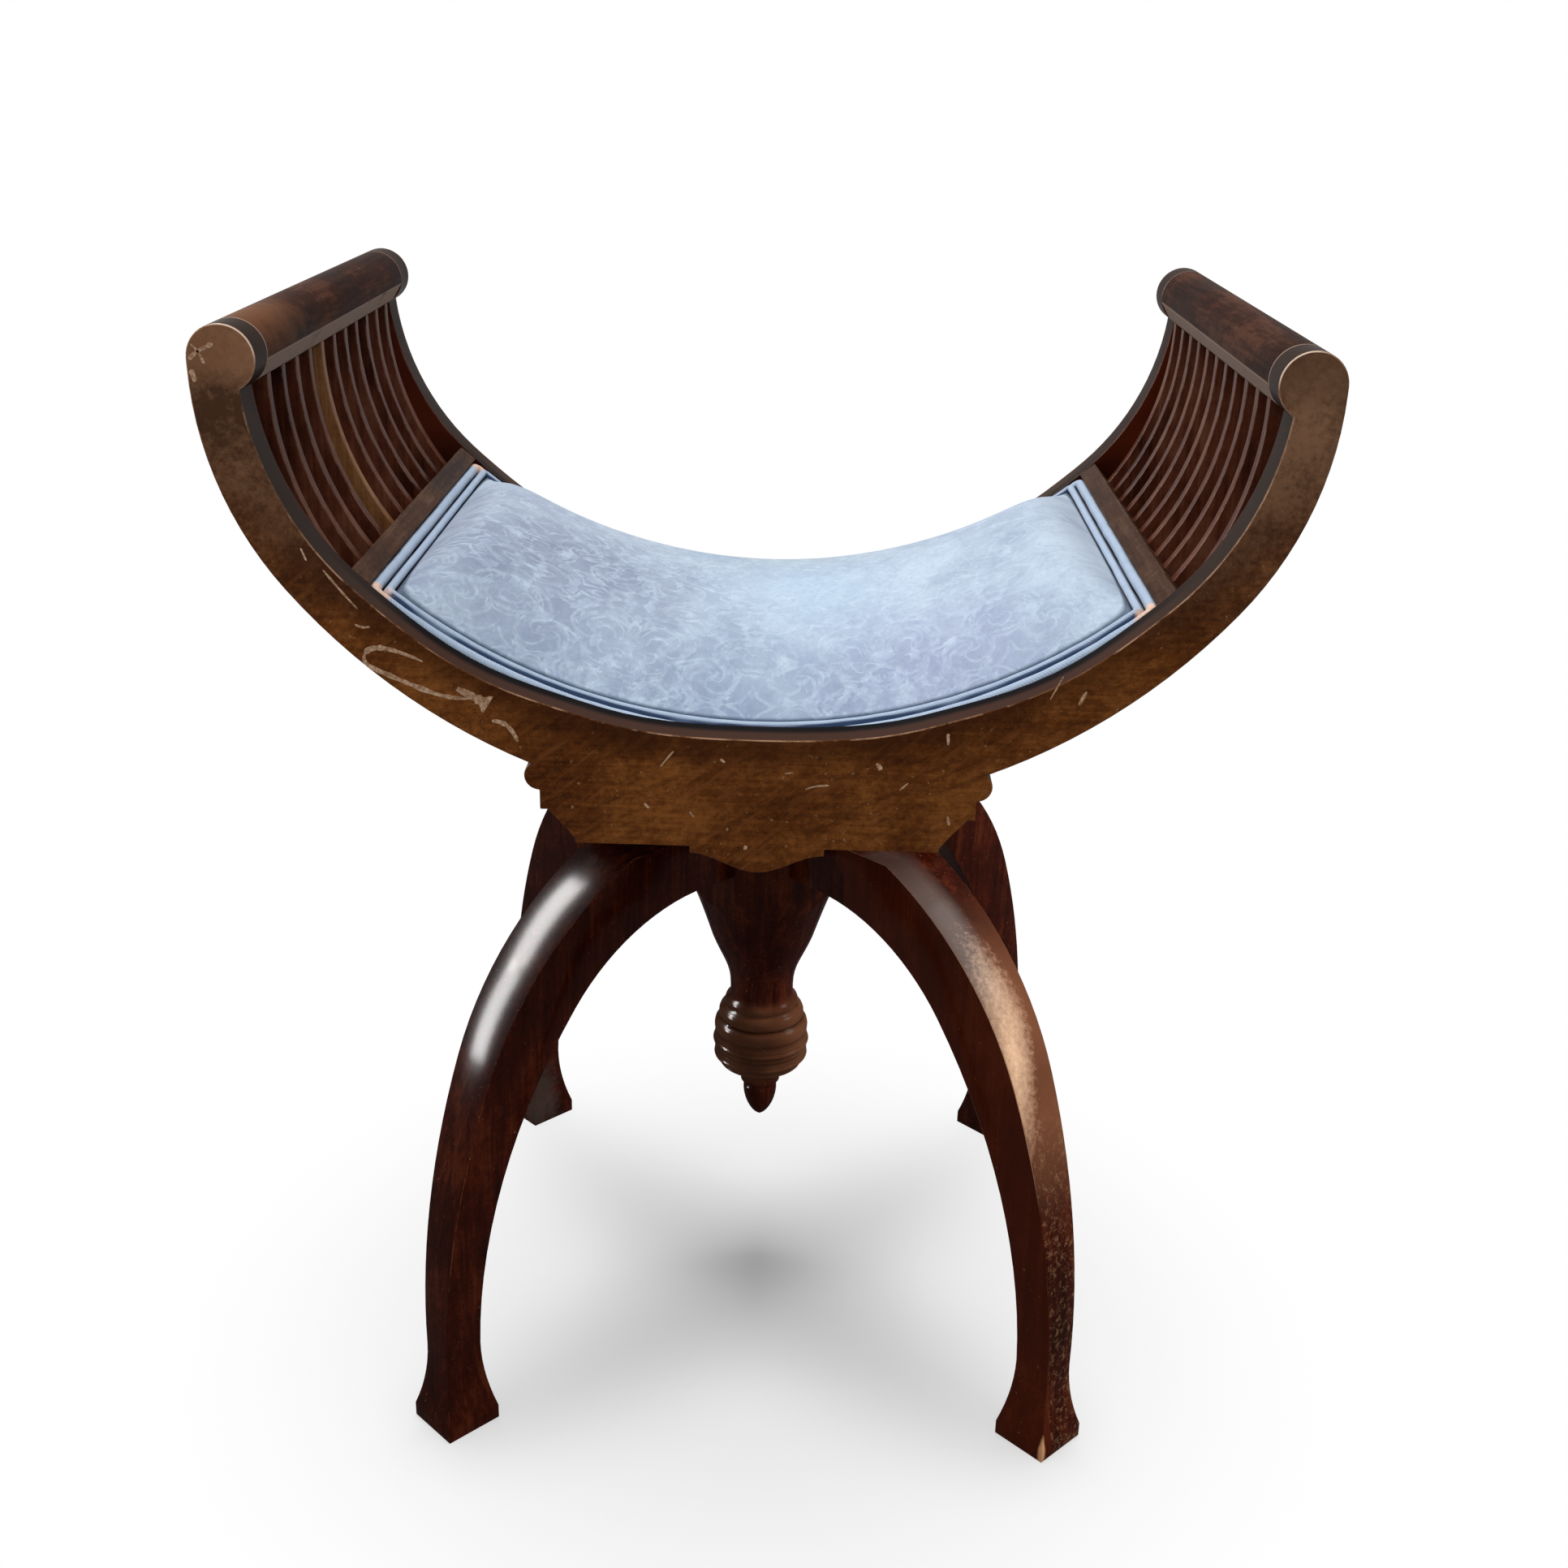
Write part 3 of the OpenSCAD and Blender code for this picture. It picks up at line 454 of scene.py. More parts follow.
for node in ("flange", "nut_plate", "end_nut", "stop_washer"):
    iron = eased(node, 0.0006, steps=2)
    iron.data.materials.append(black_iron if node in ("flange", "nut_plate") else oiled_steel)
    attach(iron, {"nut_plate": "base", "stop_washer": "lift"}.get(node, "seat"))

pitch = 0.006
steps = 24
journal_r = 0.006
# the journal is the screw's plain foot, which carries the stop washer; the shafts run a little
# into the thread
journal_over_nut = 0.0044
overlap = 0.0002
low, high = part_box("screw")
journal_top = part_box("end_nut")[1][2] + journal_over_nut
turns = int((high[2] - journal_top) / pitch) - 1
body = bmesh.new()
start = journal_top + overlap
profile = [(screw_r - thread_depth, 0.0), (screw_r - thread_depth, 0.0024), (screw_r, 0.0031),
           (screw_r, 0.0053), (screw_r - thread_depth, 0.0060)]
line = [body.verts.new((r, 0, start + z)) for r, z in profile]
rim = [body.edges.new(pair) for pair in zip(line, line[1:])]
bmesh.ops.spin(body, geom=line + rim, cent=(0, 0, 0), axis=(0, 0, 1), dvec=(0, 0, pitch / steps),
               angle=math.radians(360) * turns, steps=steps * turns, use_merge=False)
bmesh.ops.remove_doubles(body, verts=body.verts, dist=2e-6)
for bottom, top, radius in ((low[2], journal_top, journal_r),
                            (journal_top, journal_top + pitch * 1.05, screw_r),
                            (start + turns * pitch - overlap, high[2], screw_r)):
    shaft = bmesh.ops.create_cone(body, cap_ends=True, segments=48, radius1=radius, radius2=radius,
                                  depth=top - bottom)
    bmesh.ops.translate(body, verts=shaft["verts"], vec=(0, 0, (bottom + top) / 2))
bmesh.ops.recalc_face_normals(body, faces=body.faces)
screw = new_piece("lifting_screw", body, [oiled_steel])
screw.data.shade_smooth()
screw.data.set_sharp_from_angle(angle=math.radians(40))
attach(screw, "seat")
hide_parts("screw")


# Seat board, bearers and curved panel

# A plain board on the flange and two shaped bearers carry the bent panel that the cushion is
# built on. They are birch, washed with brown stain and left unpolished.

# Birch under a brown wash: flat and open-grained, without a shine
hidden_wood, tree = new_material("stained_birch_unpolished")
here, fine, cloudy, fleck, colour = stained(tree, "y", "2a1a10", "4a3220", "6a4b32", figure=0.6)
polish(tree, colour, cloudy, fine, fleck, gloss=0.6, coat=0.0, shine=0.03, depth=0.0002)
for node in ("seat_base", "bearer_left", "bearer_right", "seat_panel"):
    board = eased(node, 0.0006, steps=2)
    board.data.materials.append(hidden_wood)
    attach(board, "seat")


# Front and back board

# Two planks sawn to a U. Outside, the light has faded the stain to a hazy golden brown; inside
# it is still dark red. The inner edge is rubbed pale and the front is scratched.

# how far out the planks' outer faces stand, how high the line lies that the whole seat is bent
# round, and how far from it the inner edge of the U is
board_out = 0.1800
curve_z = 0.75593
edge_r = 0.3150


def from_bend(tree, here):
    """How far a place is from the line that the seat is bent round."""
    off = add(tree, "VectorMath", "MULTIPLY_ADD", a=here, b=(1, 0, 1), c=(0, 0, -curve_z))
    return add(tree, "VectorMath", "LENGTH", out="Value", a=off)


# Shellac that daylight has faded: hazy golden brown, with hardly a gloss over the scuffs
board_polish, tree = new_material("faded_shellac_on_mahogany")
here, fine, cloudy, fleck, colour = stained(tree, "x", "44220f", "6b3c1a", "8f5729", figure=0.12,
                                            cloud=0.6, mottle=0.5)
x, y, height = (add(tree, "SeparateXYZ", out=axis, Vector=here) for axis in "XYZ")
radius = from_bend(tree, here)
# long faint strokes from an old sanding, slantwise over the grain, pale ones and then dark ones
for slant, length, many, detail, shade in ((0.85, 12, 420.0, 3.0, "87512a"), (1.15, 9, 260.0, 4.0, "3a1d0d")):
    stroke = add(tree, "Mapping", {"vector_type": "TEXTURE"}, Vector=here, Rotation=(0, slant, 0),
                 Scale=(1, 1, length))
    stroke = add(tree, "TexNoise", Vector=stroke, Scale=many, Detail=detail)
    stroke = add(tree, "MapRange", Value=stroke, From_Min=0.52, From_Max=0.74, To_Max=0.5)
    colour = add(tree, "Mix", rgb, out=2, a=stroke, g=colour, h=shade)
# small nicks down to the wood
dot = add(tree, "TexNoise", Vector=here, Scale=330.0, Detail=2.0)
dot = add(tree, "MapRange", Value=dot, From_Min=0.70, From_Max=0.76, To_Max=0.8)
colour = add(tree, "Mix", rgb, out=2, a=dot, g=colour, h="a07a55")
# dirt lies along the inner edge of the lower curve
band = add(tree, "MapRange", Value=radius, From_Min=edge_r + 0.015, From_Max=edge_r + 0.003, To_Max=0.6)
colour = add(tree, "Mix", rgb, out=2, a=band, g=colour, h="34190c")
# hands have dulled the arms to a mottled grey brown, palest on the left knobs
arm = add(tree, "MapRange", Value=height, From_Min=0.50, From_Max=0.62, To_Max=0.85)
handled = add(tree, "Math", "MULTIPLY_ADD", a=fleck, b=0.6, c=cloudy)
handled = add(tree, "MapRange", Value=handled, From_Min=0.70, From_Max=0.92)
handled = add(tree, "Mix", rgb, out=2, a=handled, g="553a2a", h="987257")
colour = add(tree, "Mix", rgb, out=2, a=arm, g=colour, h=handled)
knob = add(tree, "MapRange", Value=height, From_Min=0.622, From_Max=0.634, To_Max=0.6)
palest = add(tree, "MapRange", Value=x, From_Min=0.25, From_Max=-0.25)
palest = add(tree, "Mix", rgb, out=2, a=palest, g="6f4f3a", h="9f7254")
colour = add(tree, "Mix", rgb, out=2, a=knob, g=colour, h=palest)
# past its rounded corner the lower curve is painted nearly black, a painted shadow beside the welt, and
# browner at the lip; on the arms the plank's edge is a dark brown and its inner face a deep red
depth = add(tree, "Math", "ABSOLUTE", a=y)
inside = add(tree, "MapRange", Value=depth, From_Min=board_out - 0.0003, From_Max=board_out - 0.0020)
lip = add(tree, "MapRange", Value=depth, From_Min=board_out - 0.0155, From_Max=board_out - 0.0100)
red = add(tree, "Mix", rgb, out=2, a=lip, g="080302", h="40291e")
deep_red = add(tree, "Mix", rgb, out=2, a=cloudy, g="2c0e06", h="5e2411")
sawn = add(tree, "MapRange", Value=depth, From_Min=board_out - 0.0212, From_Max=board_out - 0.0204)
deep_red = add(tree, "Mix", rgb, out=2, a=sawn, g=deep_red, h="2a1b13")
on_arm = add(tree, "MapRange", Value=height, From_Min=0.50, From_Max=0.54)
red = add(tree, "Mix", rgb, out=2, a=on_arm, g=red, h=deep_red)
colour = add(tree, "Mix", rgb, out=2, a=inside, g=colour, h=red)
# the front corner of that edge is rubbed pale, a little less on the arms, and the others hardly
arms = add(tree, "MapRange", Value=height, From_Min=0.58, From_Max=0.60, To_Max=0.8)
inner = add(tree, "MapRange", Value=radius, From_Min=edge_r + 0.0005, From_Max=edge_r)
inner = add(tree, "Math", "MAXIMUM", a=inner, b=arms)
front = add(tree, "MapRange", Value=y, From_Min=0.0110 - board_out, From_Max=0.0025 - board_out, To_Min=0.2)
inner = add(tree, "Math", "MULTIPLY", a=inner, b=front)
bare, colour = rubbed(tree, colour, here, "ac8568", 0.7, only=inner)
# the knobs' inner top corners, where hands turn in, are rubbed to clean wood
palm = add(tree, "MapRange", Value=add(tree, "Math", "ABSOLUTE", a=x), From_Min=0.272, From_Max=0.266)
for mask in (add(tree, "MapRange", Value=height, From_Min=0.634, From_Max=0.640),
             add(tree, "Attribute", marked, out="Fac"), front):
    palm = add(tree, "Math", "MULTIPLY", a=palm, b=mask)
colour = add(tree, "Mix", rgb, out=2, a=palm, g=colour, h="ecd0b8")
polish(tree, colour, cloudy, fleck, bare, gloss=0.42, coat=0.015, shine=0.01)

# Raw mahogany in the deep scratches: pale and dry, stained again by years of dirt
raw_wood, tree = new_material("raw_mahogany_in_scratches")
here = add(tree, "TexCoord", out="Object")
dirt = add(tree, "TexNoise", Vector=here, Scale=420.0, Detail=4.0, Roughness=0.7)
dirt = add(tree, "MapRange", Value=dirt, From_Min=0.40, From_Max=0.62)
colour = add(tree, "Mix", rgb, out=2, a=dirt, g="9a7355", h="d8b495")
add(tree, "OutputMaterial", Surface=add(tree, "BsdfPrincipled", Base_Color=colour, Roughness=0.8,
                                        Specular_IOR_Level=0.2))


def scratch(body, spots, width, front):
    """A thin ribbon of bare wood just in front of a board's face, through spots in mm."""
    for _ in range(2):
        # each corner is cut off twice, so that the line curves
        cut = [spots[0]]
        for (ax, az), (bx, bz) in zip(spots, spots[1:]):
            cut.append((ax * 0.75 + bx * 0.25, az * 0.75 + bz * 0.25))
            cut.append((ax * 0.25 + bx * 0.75, az * 0.25 + bz * 0.75))
        spots = cut + [spots[-1]]
    first, last = width if isinstance(width, tuple) else (width, width)
    line = [body.verts.new((x / 1000, front, z / 1000)) for x, z in spots]
    path = [body.edges.new(pair) for pair in zip(line, line[1:])]
    body.verts.index_update()
    place = {tuple(vert.co): i for i, vert in enumerate(line)}
    grown = bmesh.ops.extrude_edge_only(body, edges=path)["geom"]
    twins = {place[tuple(vert.co)]: vert for vert in grown if isinstance(vert, bmesh.types.BMVert)}
    last_spot = len(line) - 1
    ways = [(line[min(i + 1, last_spot)].co - line[max(i - 1, 0)].co).normalized()
            for i in range(len(line))]
    for i, vert in enumerate(line):
        share = i / last_spot
        half = (first + (last - first) * share) / 2000 * (1 + 0.7 * noise.noise(vert.co * 420))
        if first == last:
            half *= min(1.0, 0.25 + 4 * min(share, 1 - share))
        side = Vector((-ways[i].z, 0, ways[i].x)) * half
        vert.co += side
        twins[i].co -= side


# where the real scratches run, in mm, and how wide they are, or how wide at each end
scratches = (
    ([(-174, 484.6), (-182.5, 488.3), (-194.9, 491.9), (-202.5, 490.4), (-205, 485.1), (-201.8, 480.8),
      (-191.6, 476.6), (-179.2, 471.2), (-166.8, 466.7), (-158.4, 465.2), (-151, 464.9)], 2.5),
    ([(-156.8, 470.4), (-152.2, 467.8), (-147.0, 465.4), (-141.0, 461.8)], (1.5, 9.0)),
    ([(-139.4, 453.2), (-135.6, 452.8), (-131.8, 451.2), (-128.5, 447.2), (-126.1, 441.8)], 2.4),
    ([(-281.0, 636.0), (-276.5, 640.0), (-268.5, 643.8)], 2.0),
    ([(-279.5, 643.5), (-276.0, 640.0), (-273.5, 634.0)], 1.4),
    ([(-280.3, 631.0), (-278.6, 625.0)], 2.2), ([(-20.0, 435.3), (-17.4, 433.4)], 1.6),
    ([(62.0, 435.3), (64.8, 431.8)], 2.2), ([(98.5, 453.0), (98.9, 446.4)], 1.7),
    ([(-44.4, 439.2), (-48.0, 434.6), (-51.5, 430.2)], 0.9),
    ([(25.0, 419.4), (29.5, 421.4), (37.7, 422.2)], 1.0),
    ([(100.6, 406.5), (101.8, 401.2)], 1.7), ([(79.0, 424.6), (74.6, 420.4)], 0.9),
    ([(-7.0, 385.2), (-5.2, 384.9)], 2.2), ([(-222.5, 532.0), (-213.5, 520.4), (-206.0, 511.8)], 1.1),
    ([(-208.0, 503.5), (-203.8, 501.9), (-200.2, 502.6)], 1.2), ([(-233.0, 543.0), (-230.5, 536.5)], 1.0),
    ([(165.0, 470.5), (168.5, 478.0)], 1.6), ([(150.0, 473.0), (156.0, 486.0)], 0.8),
    ([(-36.0, 405.0), (-33.6, 401.8)], 1.1), ([(-60.0, 409.0), (-57.6, 406.4)], 1.0),
    ([(14.0, 428.0), (18.5, 428.8)], 0.8))


def hump(x, middle, half):
    """1 at middle, falling in a soft wave to 0 at half away from it."""
    off = min(1.0, abs(x - middle) / half)
    return 0.5 + 0.5 * math.cos(math.pi * off)


# sawn by eye: the inner edge runs 3.2 mm full in the middle and 2.6 mm shy on each side of it
full, full_half = 0.0032, 0.085
shy, shy_at, shy_half = 0.0026, 0.152, 0.058
below_arms = 0.56
moved_within = 0.011
fade_over = 0.010
for node in ("front_board", "back_board"):
    board = eased(node, 0.0018)
    board.data.materials.append(board_polish)
    for vert in board.data.vertices:
        x, up = vert.co.x, curve_z - vert.co.z
        radius = math.hypot(x, up)
        near = max(0.0, min(1.0, (edge_r + moved_within - radius) / fade_over))
        if vert.co.z < below_arms and near > 0:
            shift = shy * hump(abs(x), shy_at, shy_half) - full * hump(x, 0.0, full_half)
            vert.co.x += near * shift * x / radius
            vert.co.z -= near * shift * up / radius
    if node == "front_board":
        board.data.materials.append(raw_wood)
        body = bmesh.new()
        body.from_mesh(board.data)
        old = set(body.faces)
        for spots, width in scratches:
            scratch(body, spots, width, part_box(node)[0][1] - 0.00006)
        for face in set(body.faces) - old:
            face.material_index = 1
            if face.normal.y > 0:
                face.normal_flip()
        body.to_mesh(board.data)
        body.free()
    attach(board, "seat")


# Rolls, cross rails and slats

# Turned bars to grip at the top of each arm, square rails beside the cushion, and eleven bent
# slats between them. Hands and sleeves have greyed the rails and paled the slats' edges.

# Dark brown shellac on the rolls, cloudy from hands and gone dull
roll_polish, tree = new_material("brown_shellac_on_turned_mahogany")
here, fine, cloudy, fleck, colour = stained(tree, "y", "1c0d08", "341d14", "523427", cloud=0.6)
# the near end of the left roll is paler brown: worn wood and a painted warm highlight
worn_and_lit_end = patch_near(tree, here, (-0.262, -0.135, 0.655), (0.05, 0.07, 0.03), 60.0, 0.8)
colour = add(tree, "Mix", rgb, out=2, a=worn_and_lit_end, g=colour, h="68432d")
# on the marked flat underneath, this pale is a painted reflection of the bright room; on the rounded corners
# it is rubbed wood
bare, colour = rubbed(tree, colour, here, "a08878", 1.3)
polish(tree, colour, cloudy, fine, bare, gloss=0.48, coat=0.0, shine=0.006)

# The same shellac gone dull and grey on the rails, where sleeves and dust have taken its shine
rail_polish, tree = new_material("greyed_shellac_on_mahogany")
here, fine, cloudy, fleck, colour = stained(tree, "y", "29160e", "472e20", "614637", cloud=0.5)
bare, colour = rubbed(tree, colour, here, "5d4a3e", 0.45)
polish(tree, colour, cloudy, fine, bare, gloss=0.4, coat=0.01, shine=0.01)

# Clear red-brown shellac on the slats, worn grey along the edges; one is a replacement in a
# golden wood
slat_polishes = []
for finish, dark, mid, light in (("red_shellac_on_bent_mahogany", "34160d", "5a2f20", "704633"),
                                 ("golden_shellac_on_bent_mahogany", "4a2a16", "7d5230", "9a6d46")):
    made, tree = new_material(finish)
    here, fine, cloudy, fleck, colour = stained(tree, "z", dark, mid, light, cloud=0.5, mottle=0.2)
    bare, colour = rubbed(tree, colour, here, "7a5d4c", 0.66)
    polish(tree, colour, cloudy, fine, bare, gloss=0.34, coat=0.015, shine=0.015)
    slat_polishes.append(made)

for side in ("left", "right"):
    roll = eased("roll_" + side, 0.0008, crease=17)
    roll.data.materials.append(roll_polish)
    # the flat along the inner lower side is marked, so that it is painted pale: a painted reflection of the
    # bright room at a grazing angle
    flat = max(roll.data.polygons, key=lambda face: face.area)
    roll.data.attributes["corner"].data[flat.index].value = 1.0
    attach(roll, "seat")
    rail = eased("rail_" + side, 0.0010)
    rail.data.materials.append(rail_polish)
    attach(rail, "seat")
    for number in range(1, 12):
        slat = eased("slat_%s_%d" % (side, number), 0.0007)
        slat.data.materials.append(slat_polishes[side == "left" and number == 5])
        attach(slat, "seat")


# Corded border

# A fat welt and a thinner cord, both covered with the plain back of the silk, are tacked side
# by side over the edge of the curved panel. Three corners are worn to the cotton inside.

# the seat's curve, how far the cords stand over the panel, and half the border's length and depth
curve_r = 0.31293
panel_drop = 0.0157
border_long = 0.2223
border_deep = 0.1560
path_step = 0.003
cord_sides = 14
cord_wobble = 0.10


def bend(spot):
    """Takes a point of the flat seat, with z its height, to the curve of the boards."""
    turn = spot.x / curve_r
    radius = curve_r - spot.z
    return Vector((radius * math.sin(turn), spot.y, curve_z - radius * math.cos(turn)))


def round_seat(inset, corner):
    """Points of a rectangle with rounded corners, inset from the border's outer edge."""
    long, deep = border_long - inset - corner, border_deep - inset - corner
    spots = []
    for turn, cx, cy in ((0, long, -deep), (90, long, deep), (180, -long, deep), (270, -long, -deep)):
        for i in range(7):
            angle = math.radians(turn - 90 + 15 * i)
            spots.append(Vector((cx + corner * math.cos(angle), cy + corner * math.sin(angle), 0)))
    filled = []
    for here, there in zip(spots, spots[1:] + spots[:1]):
        parts = max(1, round((there - here).length / path_step))
        filled += [here.lerp(there, i / parts) for i in range(parts)]
    return filled


def corded(name, inset, corner, wide, top_drop):
    """A covered cord with straight flanks down to the panel: a grid rolled up along the edge."""
    path = round_seat(inset + wide / 2, corner)
    runs = [0.0]
    for spot, after in zip(path, path[1:] + path[:1]):
        runs.append(runs[-1] + (after - spot).length)
    body = bmesh.new()
    along = body.loops.layers.uv.new("along")
    bmesh.ops.create_grid(body, x_segments=len(path), y_segments=cord_sides, size=1.0)
    places = {vert: (round((vert.co.x + 1) / 2 * len(path)), round((vert.co.y + 1) / 2 * cord_sides))
              for vert in body.verts}
    for face in body.faces:
        face.smooth = True
        for loop in face.loops:
            i, k = places[loop.vert]
            loop[along].uv = (runs[i] * 100, k / cord_sides)
    for vert, (i, k) in places.items():
        i %= len(path)
        way = (path[(i + 1) % len(path)] - path[i - 1]).normalized()
        side = Vector((way.y, -way.x, 0))
        wave = noise.noise(Vector((runs[i] * 28, inset * 900, 1.7)))
        fat = 1 + cord_wobble * noise.noise(Vector((runs[i] * 75, inset * 700, 8.1)))
        angle = math.radians(360) * (k % cord_sides) / cord_sides
        out, high = wide / 2 * math.cos(angle) * fat, wide / 2 * math.sin(angle)
        high = high * fat - top_drop - wide / 2 if high > -1e-6 else high * 0.2 - panel_drop
        vert.co = bend(path[i] + side * (out + cord_wobble * 0.004 * wave) + Vector((0, 0, high)))
    bmesh.ops.remove_doubles(body, verts=body.verts, dist=1e-6)
    bmesh.ops.recalc_face_normals(body, faces=body.faces)
    piece = new_piece(name, body)
    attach(piece, "seat")
    return piece


def unbent(tree, here):
    """How far along the bent seat a place is, and how far across, both from the middle."""
    x, y, z = (add(tree, "SeparateXYZ", out=axis, Vector=here) for axis in "XYZ")
    down = add(tree, "Math", "SUBTRACT", a=curve_z, b=z)
    turn = add(tree, "Math", "ARCTAN2", a=x, b=down)
    return add(tree, "Math", "MULTIPLY", a=turn, b=curve_r), y


# Ribbed silk on the cords: light blue on the crowns, and navy between them for dirt and painted shade
border_silk, tree = new_material("ribbed_silk_cord_cover")
here = add(tree, "TexCoord", out="Object")
radius = from_bend(tree, here)
# the cords are painted navy low down, for dirt and painted shade
low_down = add(tree, "MapRange", Value=radius, From_Min=curve_r + 0.0030, From_Max=curve_r + 0.0052)
# dirt and painted shade fill the two seams, between welt and cord and between cord and cushion
seam_half = 0.0009
along, sideways = unbent(tree, here)
to_end = add(tree, "Math", "SUBTRACT", a=border_long, b=add(tree, "Math", "ABSOLUTE", a=along))
to_side = add(tree, "Math", "SUBTRACT", a=border_deep, b=add(tree, "Math", "ABSOLUTE", a=sideways))
from_rim = add(tree, "Math", "MINIMUM", a=to_end, b=to_side)
seams = 0.0
for seam in (0.0067, 0.0119):
    off = add(tree, "Math", "SUBTRACT", a=from_rim, b=seam)
    off = add(tree, "Math", "ABSOLUTE", a=off)
    off = add(tree, "MapRange", Value=off, From_Min=seam_half, From_Max=seam_half * 0.4)
    seams = add(tree, "Math", "MAXIMUM", a=seams, b=off)
soil = add(tree, "TexNoise", Vector=here, Scale=70.0, Detail=5.0, Roughness=0.7)
colour = add(tree, "Mix", rgb, out=2, a=soil, g="9cb1cc", h="c2d3e8")
colour = add(tree, "Mix", rgb, out=2, a=low_down, g=colour, h="2a3e5b")
colour = add(tree, "Mix", rgb, out=2, a=seams, g=colour, h="34496a")
corners = 0.0
for spot in ((-0.2015, -0.1525, 0.5135), (0.2015, -0.1525, 0.5135), (-0.2030, 0.1500, 0.5155)):
    worn = patch_near(tree, here, spot, (0.0095, 0.0080, 0.0080), 260.0, 0.35)
    corners = add(tree, "Math", "MAXIMUM", a=corners, b=worn)
colour = add(tree, "Mix", rgb, out=2, a=corners, g=colour, h="edc9b4")
# ribs 1.8 mm apart, coarser than the real ones so that they show
wrap = add(tree, "TexCoord", out="UV")
rib = add(tree, "TexWave", {"wave_type": "BANDS", "bands_direction": "DIAGONAL"}, Vector=wrap, Scale=3.4,
          Distortion=1.5, Detail=2.0)
bump = add(tree, "Bump", Strength=0.5, Distance=0.0003, Height=rib)
add(tree, "OutputMaterial", Surface=add(
    tree, "BsdfPrincipled", Base_Color=colour, Roughness=0.75, Normal=bump, Specular_IOR_Level=0.3,
    Sheen_Weight=0.2, Sheen_Roughness=0.5))
welt = corded("border_welt", 0.0, 0.0035, 0.0064, 0.0006)
cord = corded("border_cord", 0.0070, 0.0030, 0.0046, -0.0016)
for piece in (welt, cord):
    piece.data.materials.append(border_silk)
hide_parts("cushion_border")


# Cushion

# Horsehair under pale blue silk damask, pulled down all round to the corded border, so that
# it swells into one long crown that follows the curve of the seat.

# half the cushion's length and depth, how high it crowns over the flat seat, how far down its
# rim, the turn of its cover and its foot are, and how far the stuffing may push the cover out
half_long = 0.2106
half_deep = 0.1444
crown = 0.0410
edge_drop = 0.0005
turn_down = 0.004
floor_drop = 0.0155
most_swell = 0.006
end_fall = 0.21
end_power = 24
side_power = 2.7


def swell(x, y):
    """The share of the crown at a place: a fifth less towards the ends, and none at the edges."""
    u, v = abs(x / half_long), abs(y / half_deep)
    return (1 - end_fall * u * u) * max(0.0, 1 - u ** end_power) * max(0.0, 1 - v ** side_power)


body = bmesh.new()
bmesh.ops.create_grid(body, x_segments=84, y_segments=58, size=1.0)
for vert in body.verts:
    # crowded towards the edges, where the stuffing turns down fastest
    vert.co.x = half_long * math.sin(vert.co.x * math.pi / 2)
    vert.co.y = half_deep * math.sin(vert.co.y * math.pi / 2)
    vert.co.z = crown * swell(vert.co.x, vert.co.y) - edge_drop
for drop, inset in ((turn_down, 0.0006), (floor_drop - edge_drop - turn_down, 0.0012)):
    rim = [e for e in body.edges if e.is_boundary]
    grown = bmesh.ops.extrude_edge_only(body, edges=rim)["geom"]
    for vert in (g for g in grown if isinstance(g, bmesh.types.BMVert)):
        vert.co.z -= drop
        vert.co.x -= math.copysign(inset, vert.co.x)
        vert.co.y -= math.copysign(inset, vert.co.y)
bmesh.ops.holes_fill(body, edges=[e for e in body.edges if e.is_boundary])
bmesh.ops.triangulate(body, faces=[f for f in body.faces if len(f.verts) > 4])
for vert in body.verts:
    vert.co = bend(vert.co)
bmesh.ops.recalc_face_normals(body, faces=body.faces)
cushion = new_piece("damask_cushion", body)

tacked_within = 0.002
free_after = 0.016
cloth_frames = 16
# the stuffing presses the cover outwards; the edge stays where it is tacked
scene = bpy.context.scene
remesh = cushion.modifiers.new("even", "REMESH")
remesh.mode = "VOXEL"
remesh.voxel_size = 0.0034
graph = bpy.context.evaluated_depsgraph_get()
even = bpy.data.meshes.new_from_object(cushion.evaluated_get(graph))
cushion.modifiers.clear()
cushion.data = even
start = [v.co.copy() for v in even.vertices]
held = cushion.vertex_groups.new(name="tacked")
hold = []
for v in even.vertices:
    turn = math.atan2(v.co.x, curve_z - v.co.z)
    high = curve_r - math.hypot(v.co.x, curve_z - v.co.z)
    edge = min(half_long - abs(turn * curve_r), half_deep - abs(v.co.y))
    free = min(1.0, max(0.0, edge - tacked_within) / free_after)
    hold.append(0.0 if high < 0.001 - edge_drop else free)
    if hold[-1] <= 0.0:
        held.add([v.index], 1.0, "REPLACE")
cloth = cushion.modifiers.new("cover", "CLOTH")
cloth.settings.quality = 5
cloth.settings.mass = 0.3
cloth.settings.tension_stiffness = 25
cloth.settings.compression_stiffness = 20
cloth.settings.bending_stiffness = 0.6
cloth.settings.use_pressure = True
cloth.settings.uniform_pressure_force = 4.0
cloth.settings.vertex_group_mass = "tacked"
cloth.settings.effector_weights.gravity = 0.0
cloth.collision_settings.use_collision = False
cloth.collision_settings.use_self_collision = False
for now in range(1, cloth_frames + 1):
    scene.frame_set(now)
graph = bpy.context.evaluated_depsgraph_get()
pressed = [v.co.copy() for v in cushion.evaluated_get(graph).data.vertices]
scene.frame_set(1)
cushion.modifiers.clear()
for v, was, now, share in zip(cushion.data.vertices, start, pressed, hold):
    move = now - was
    if move.length > most_swell:
        move = move.normalized() * most_swell
    v.co = was + move * share
smooth = cushion.modifiers.new("fair", "SUBSURF")
smooth.levels = smooth.render_levels = 1
cushion.data.shade_smooth()
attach(cushion, "seat")
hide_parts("cushion")

# Silk damask: a matt ground and satin leaves of the same blue, washed out and faintly lilac
damask, tree = new_material("pale_blue_silk_damask")
here = add(tree, "TexCoord", out="Object")
along, sideways = unbent(tree, here)
flat = add(tree, "CombineXYZ", X=along, Y=sideways)
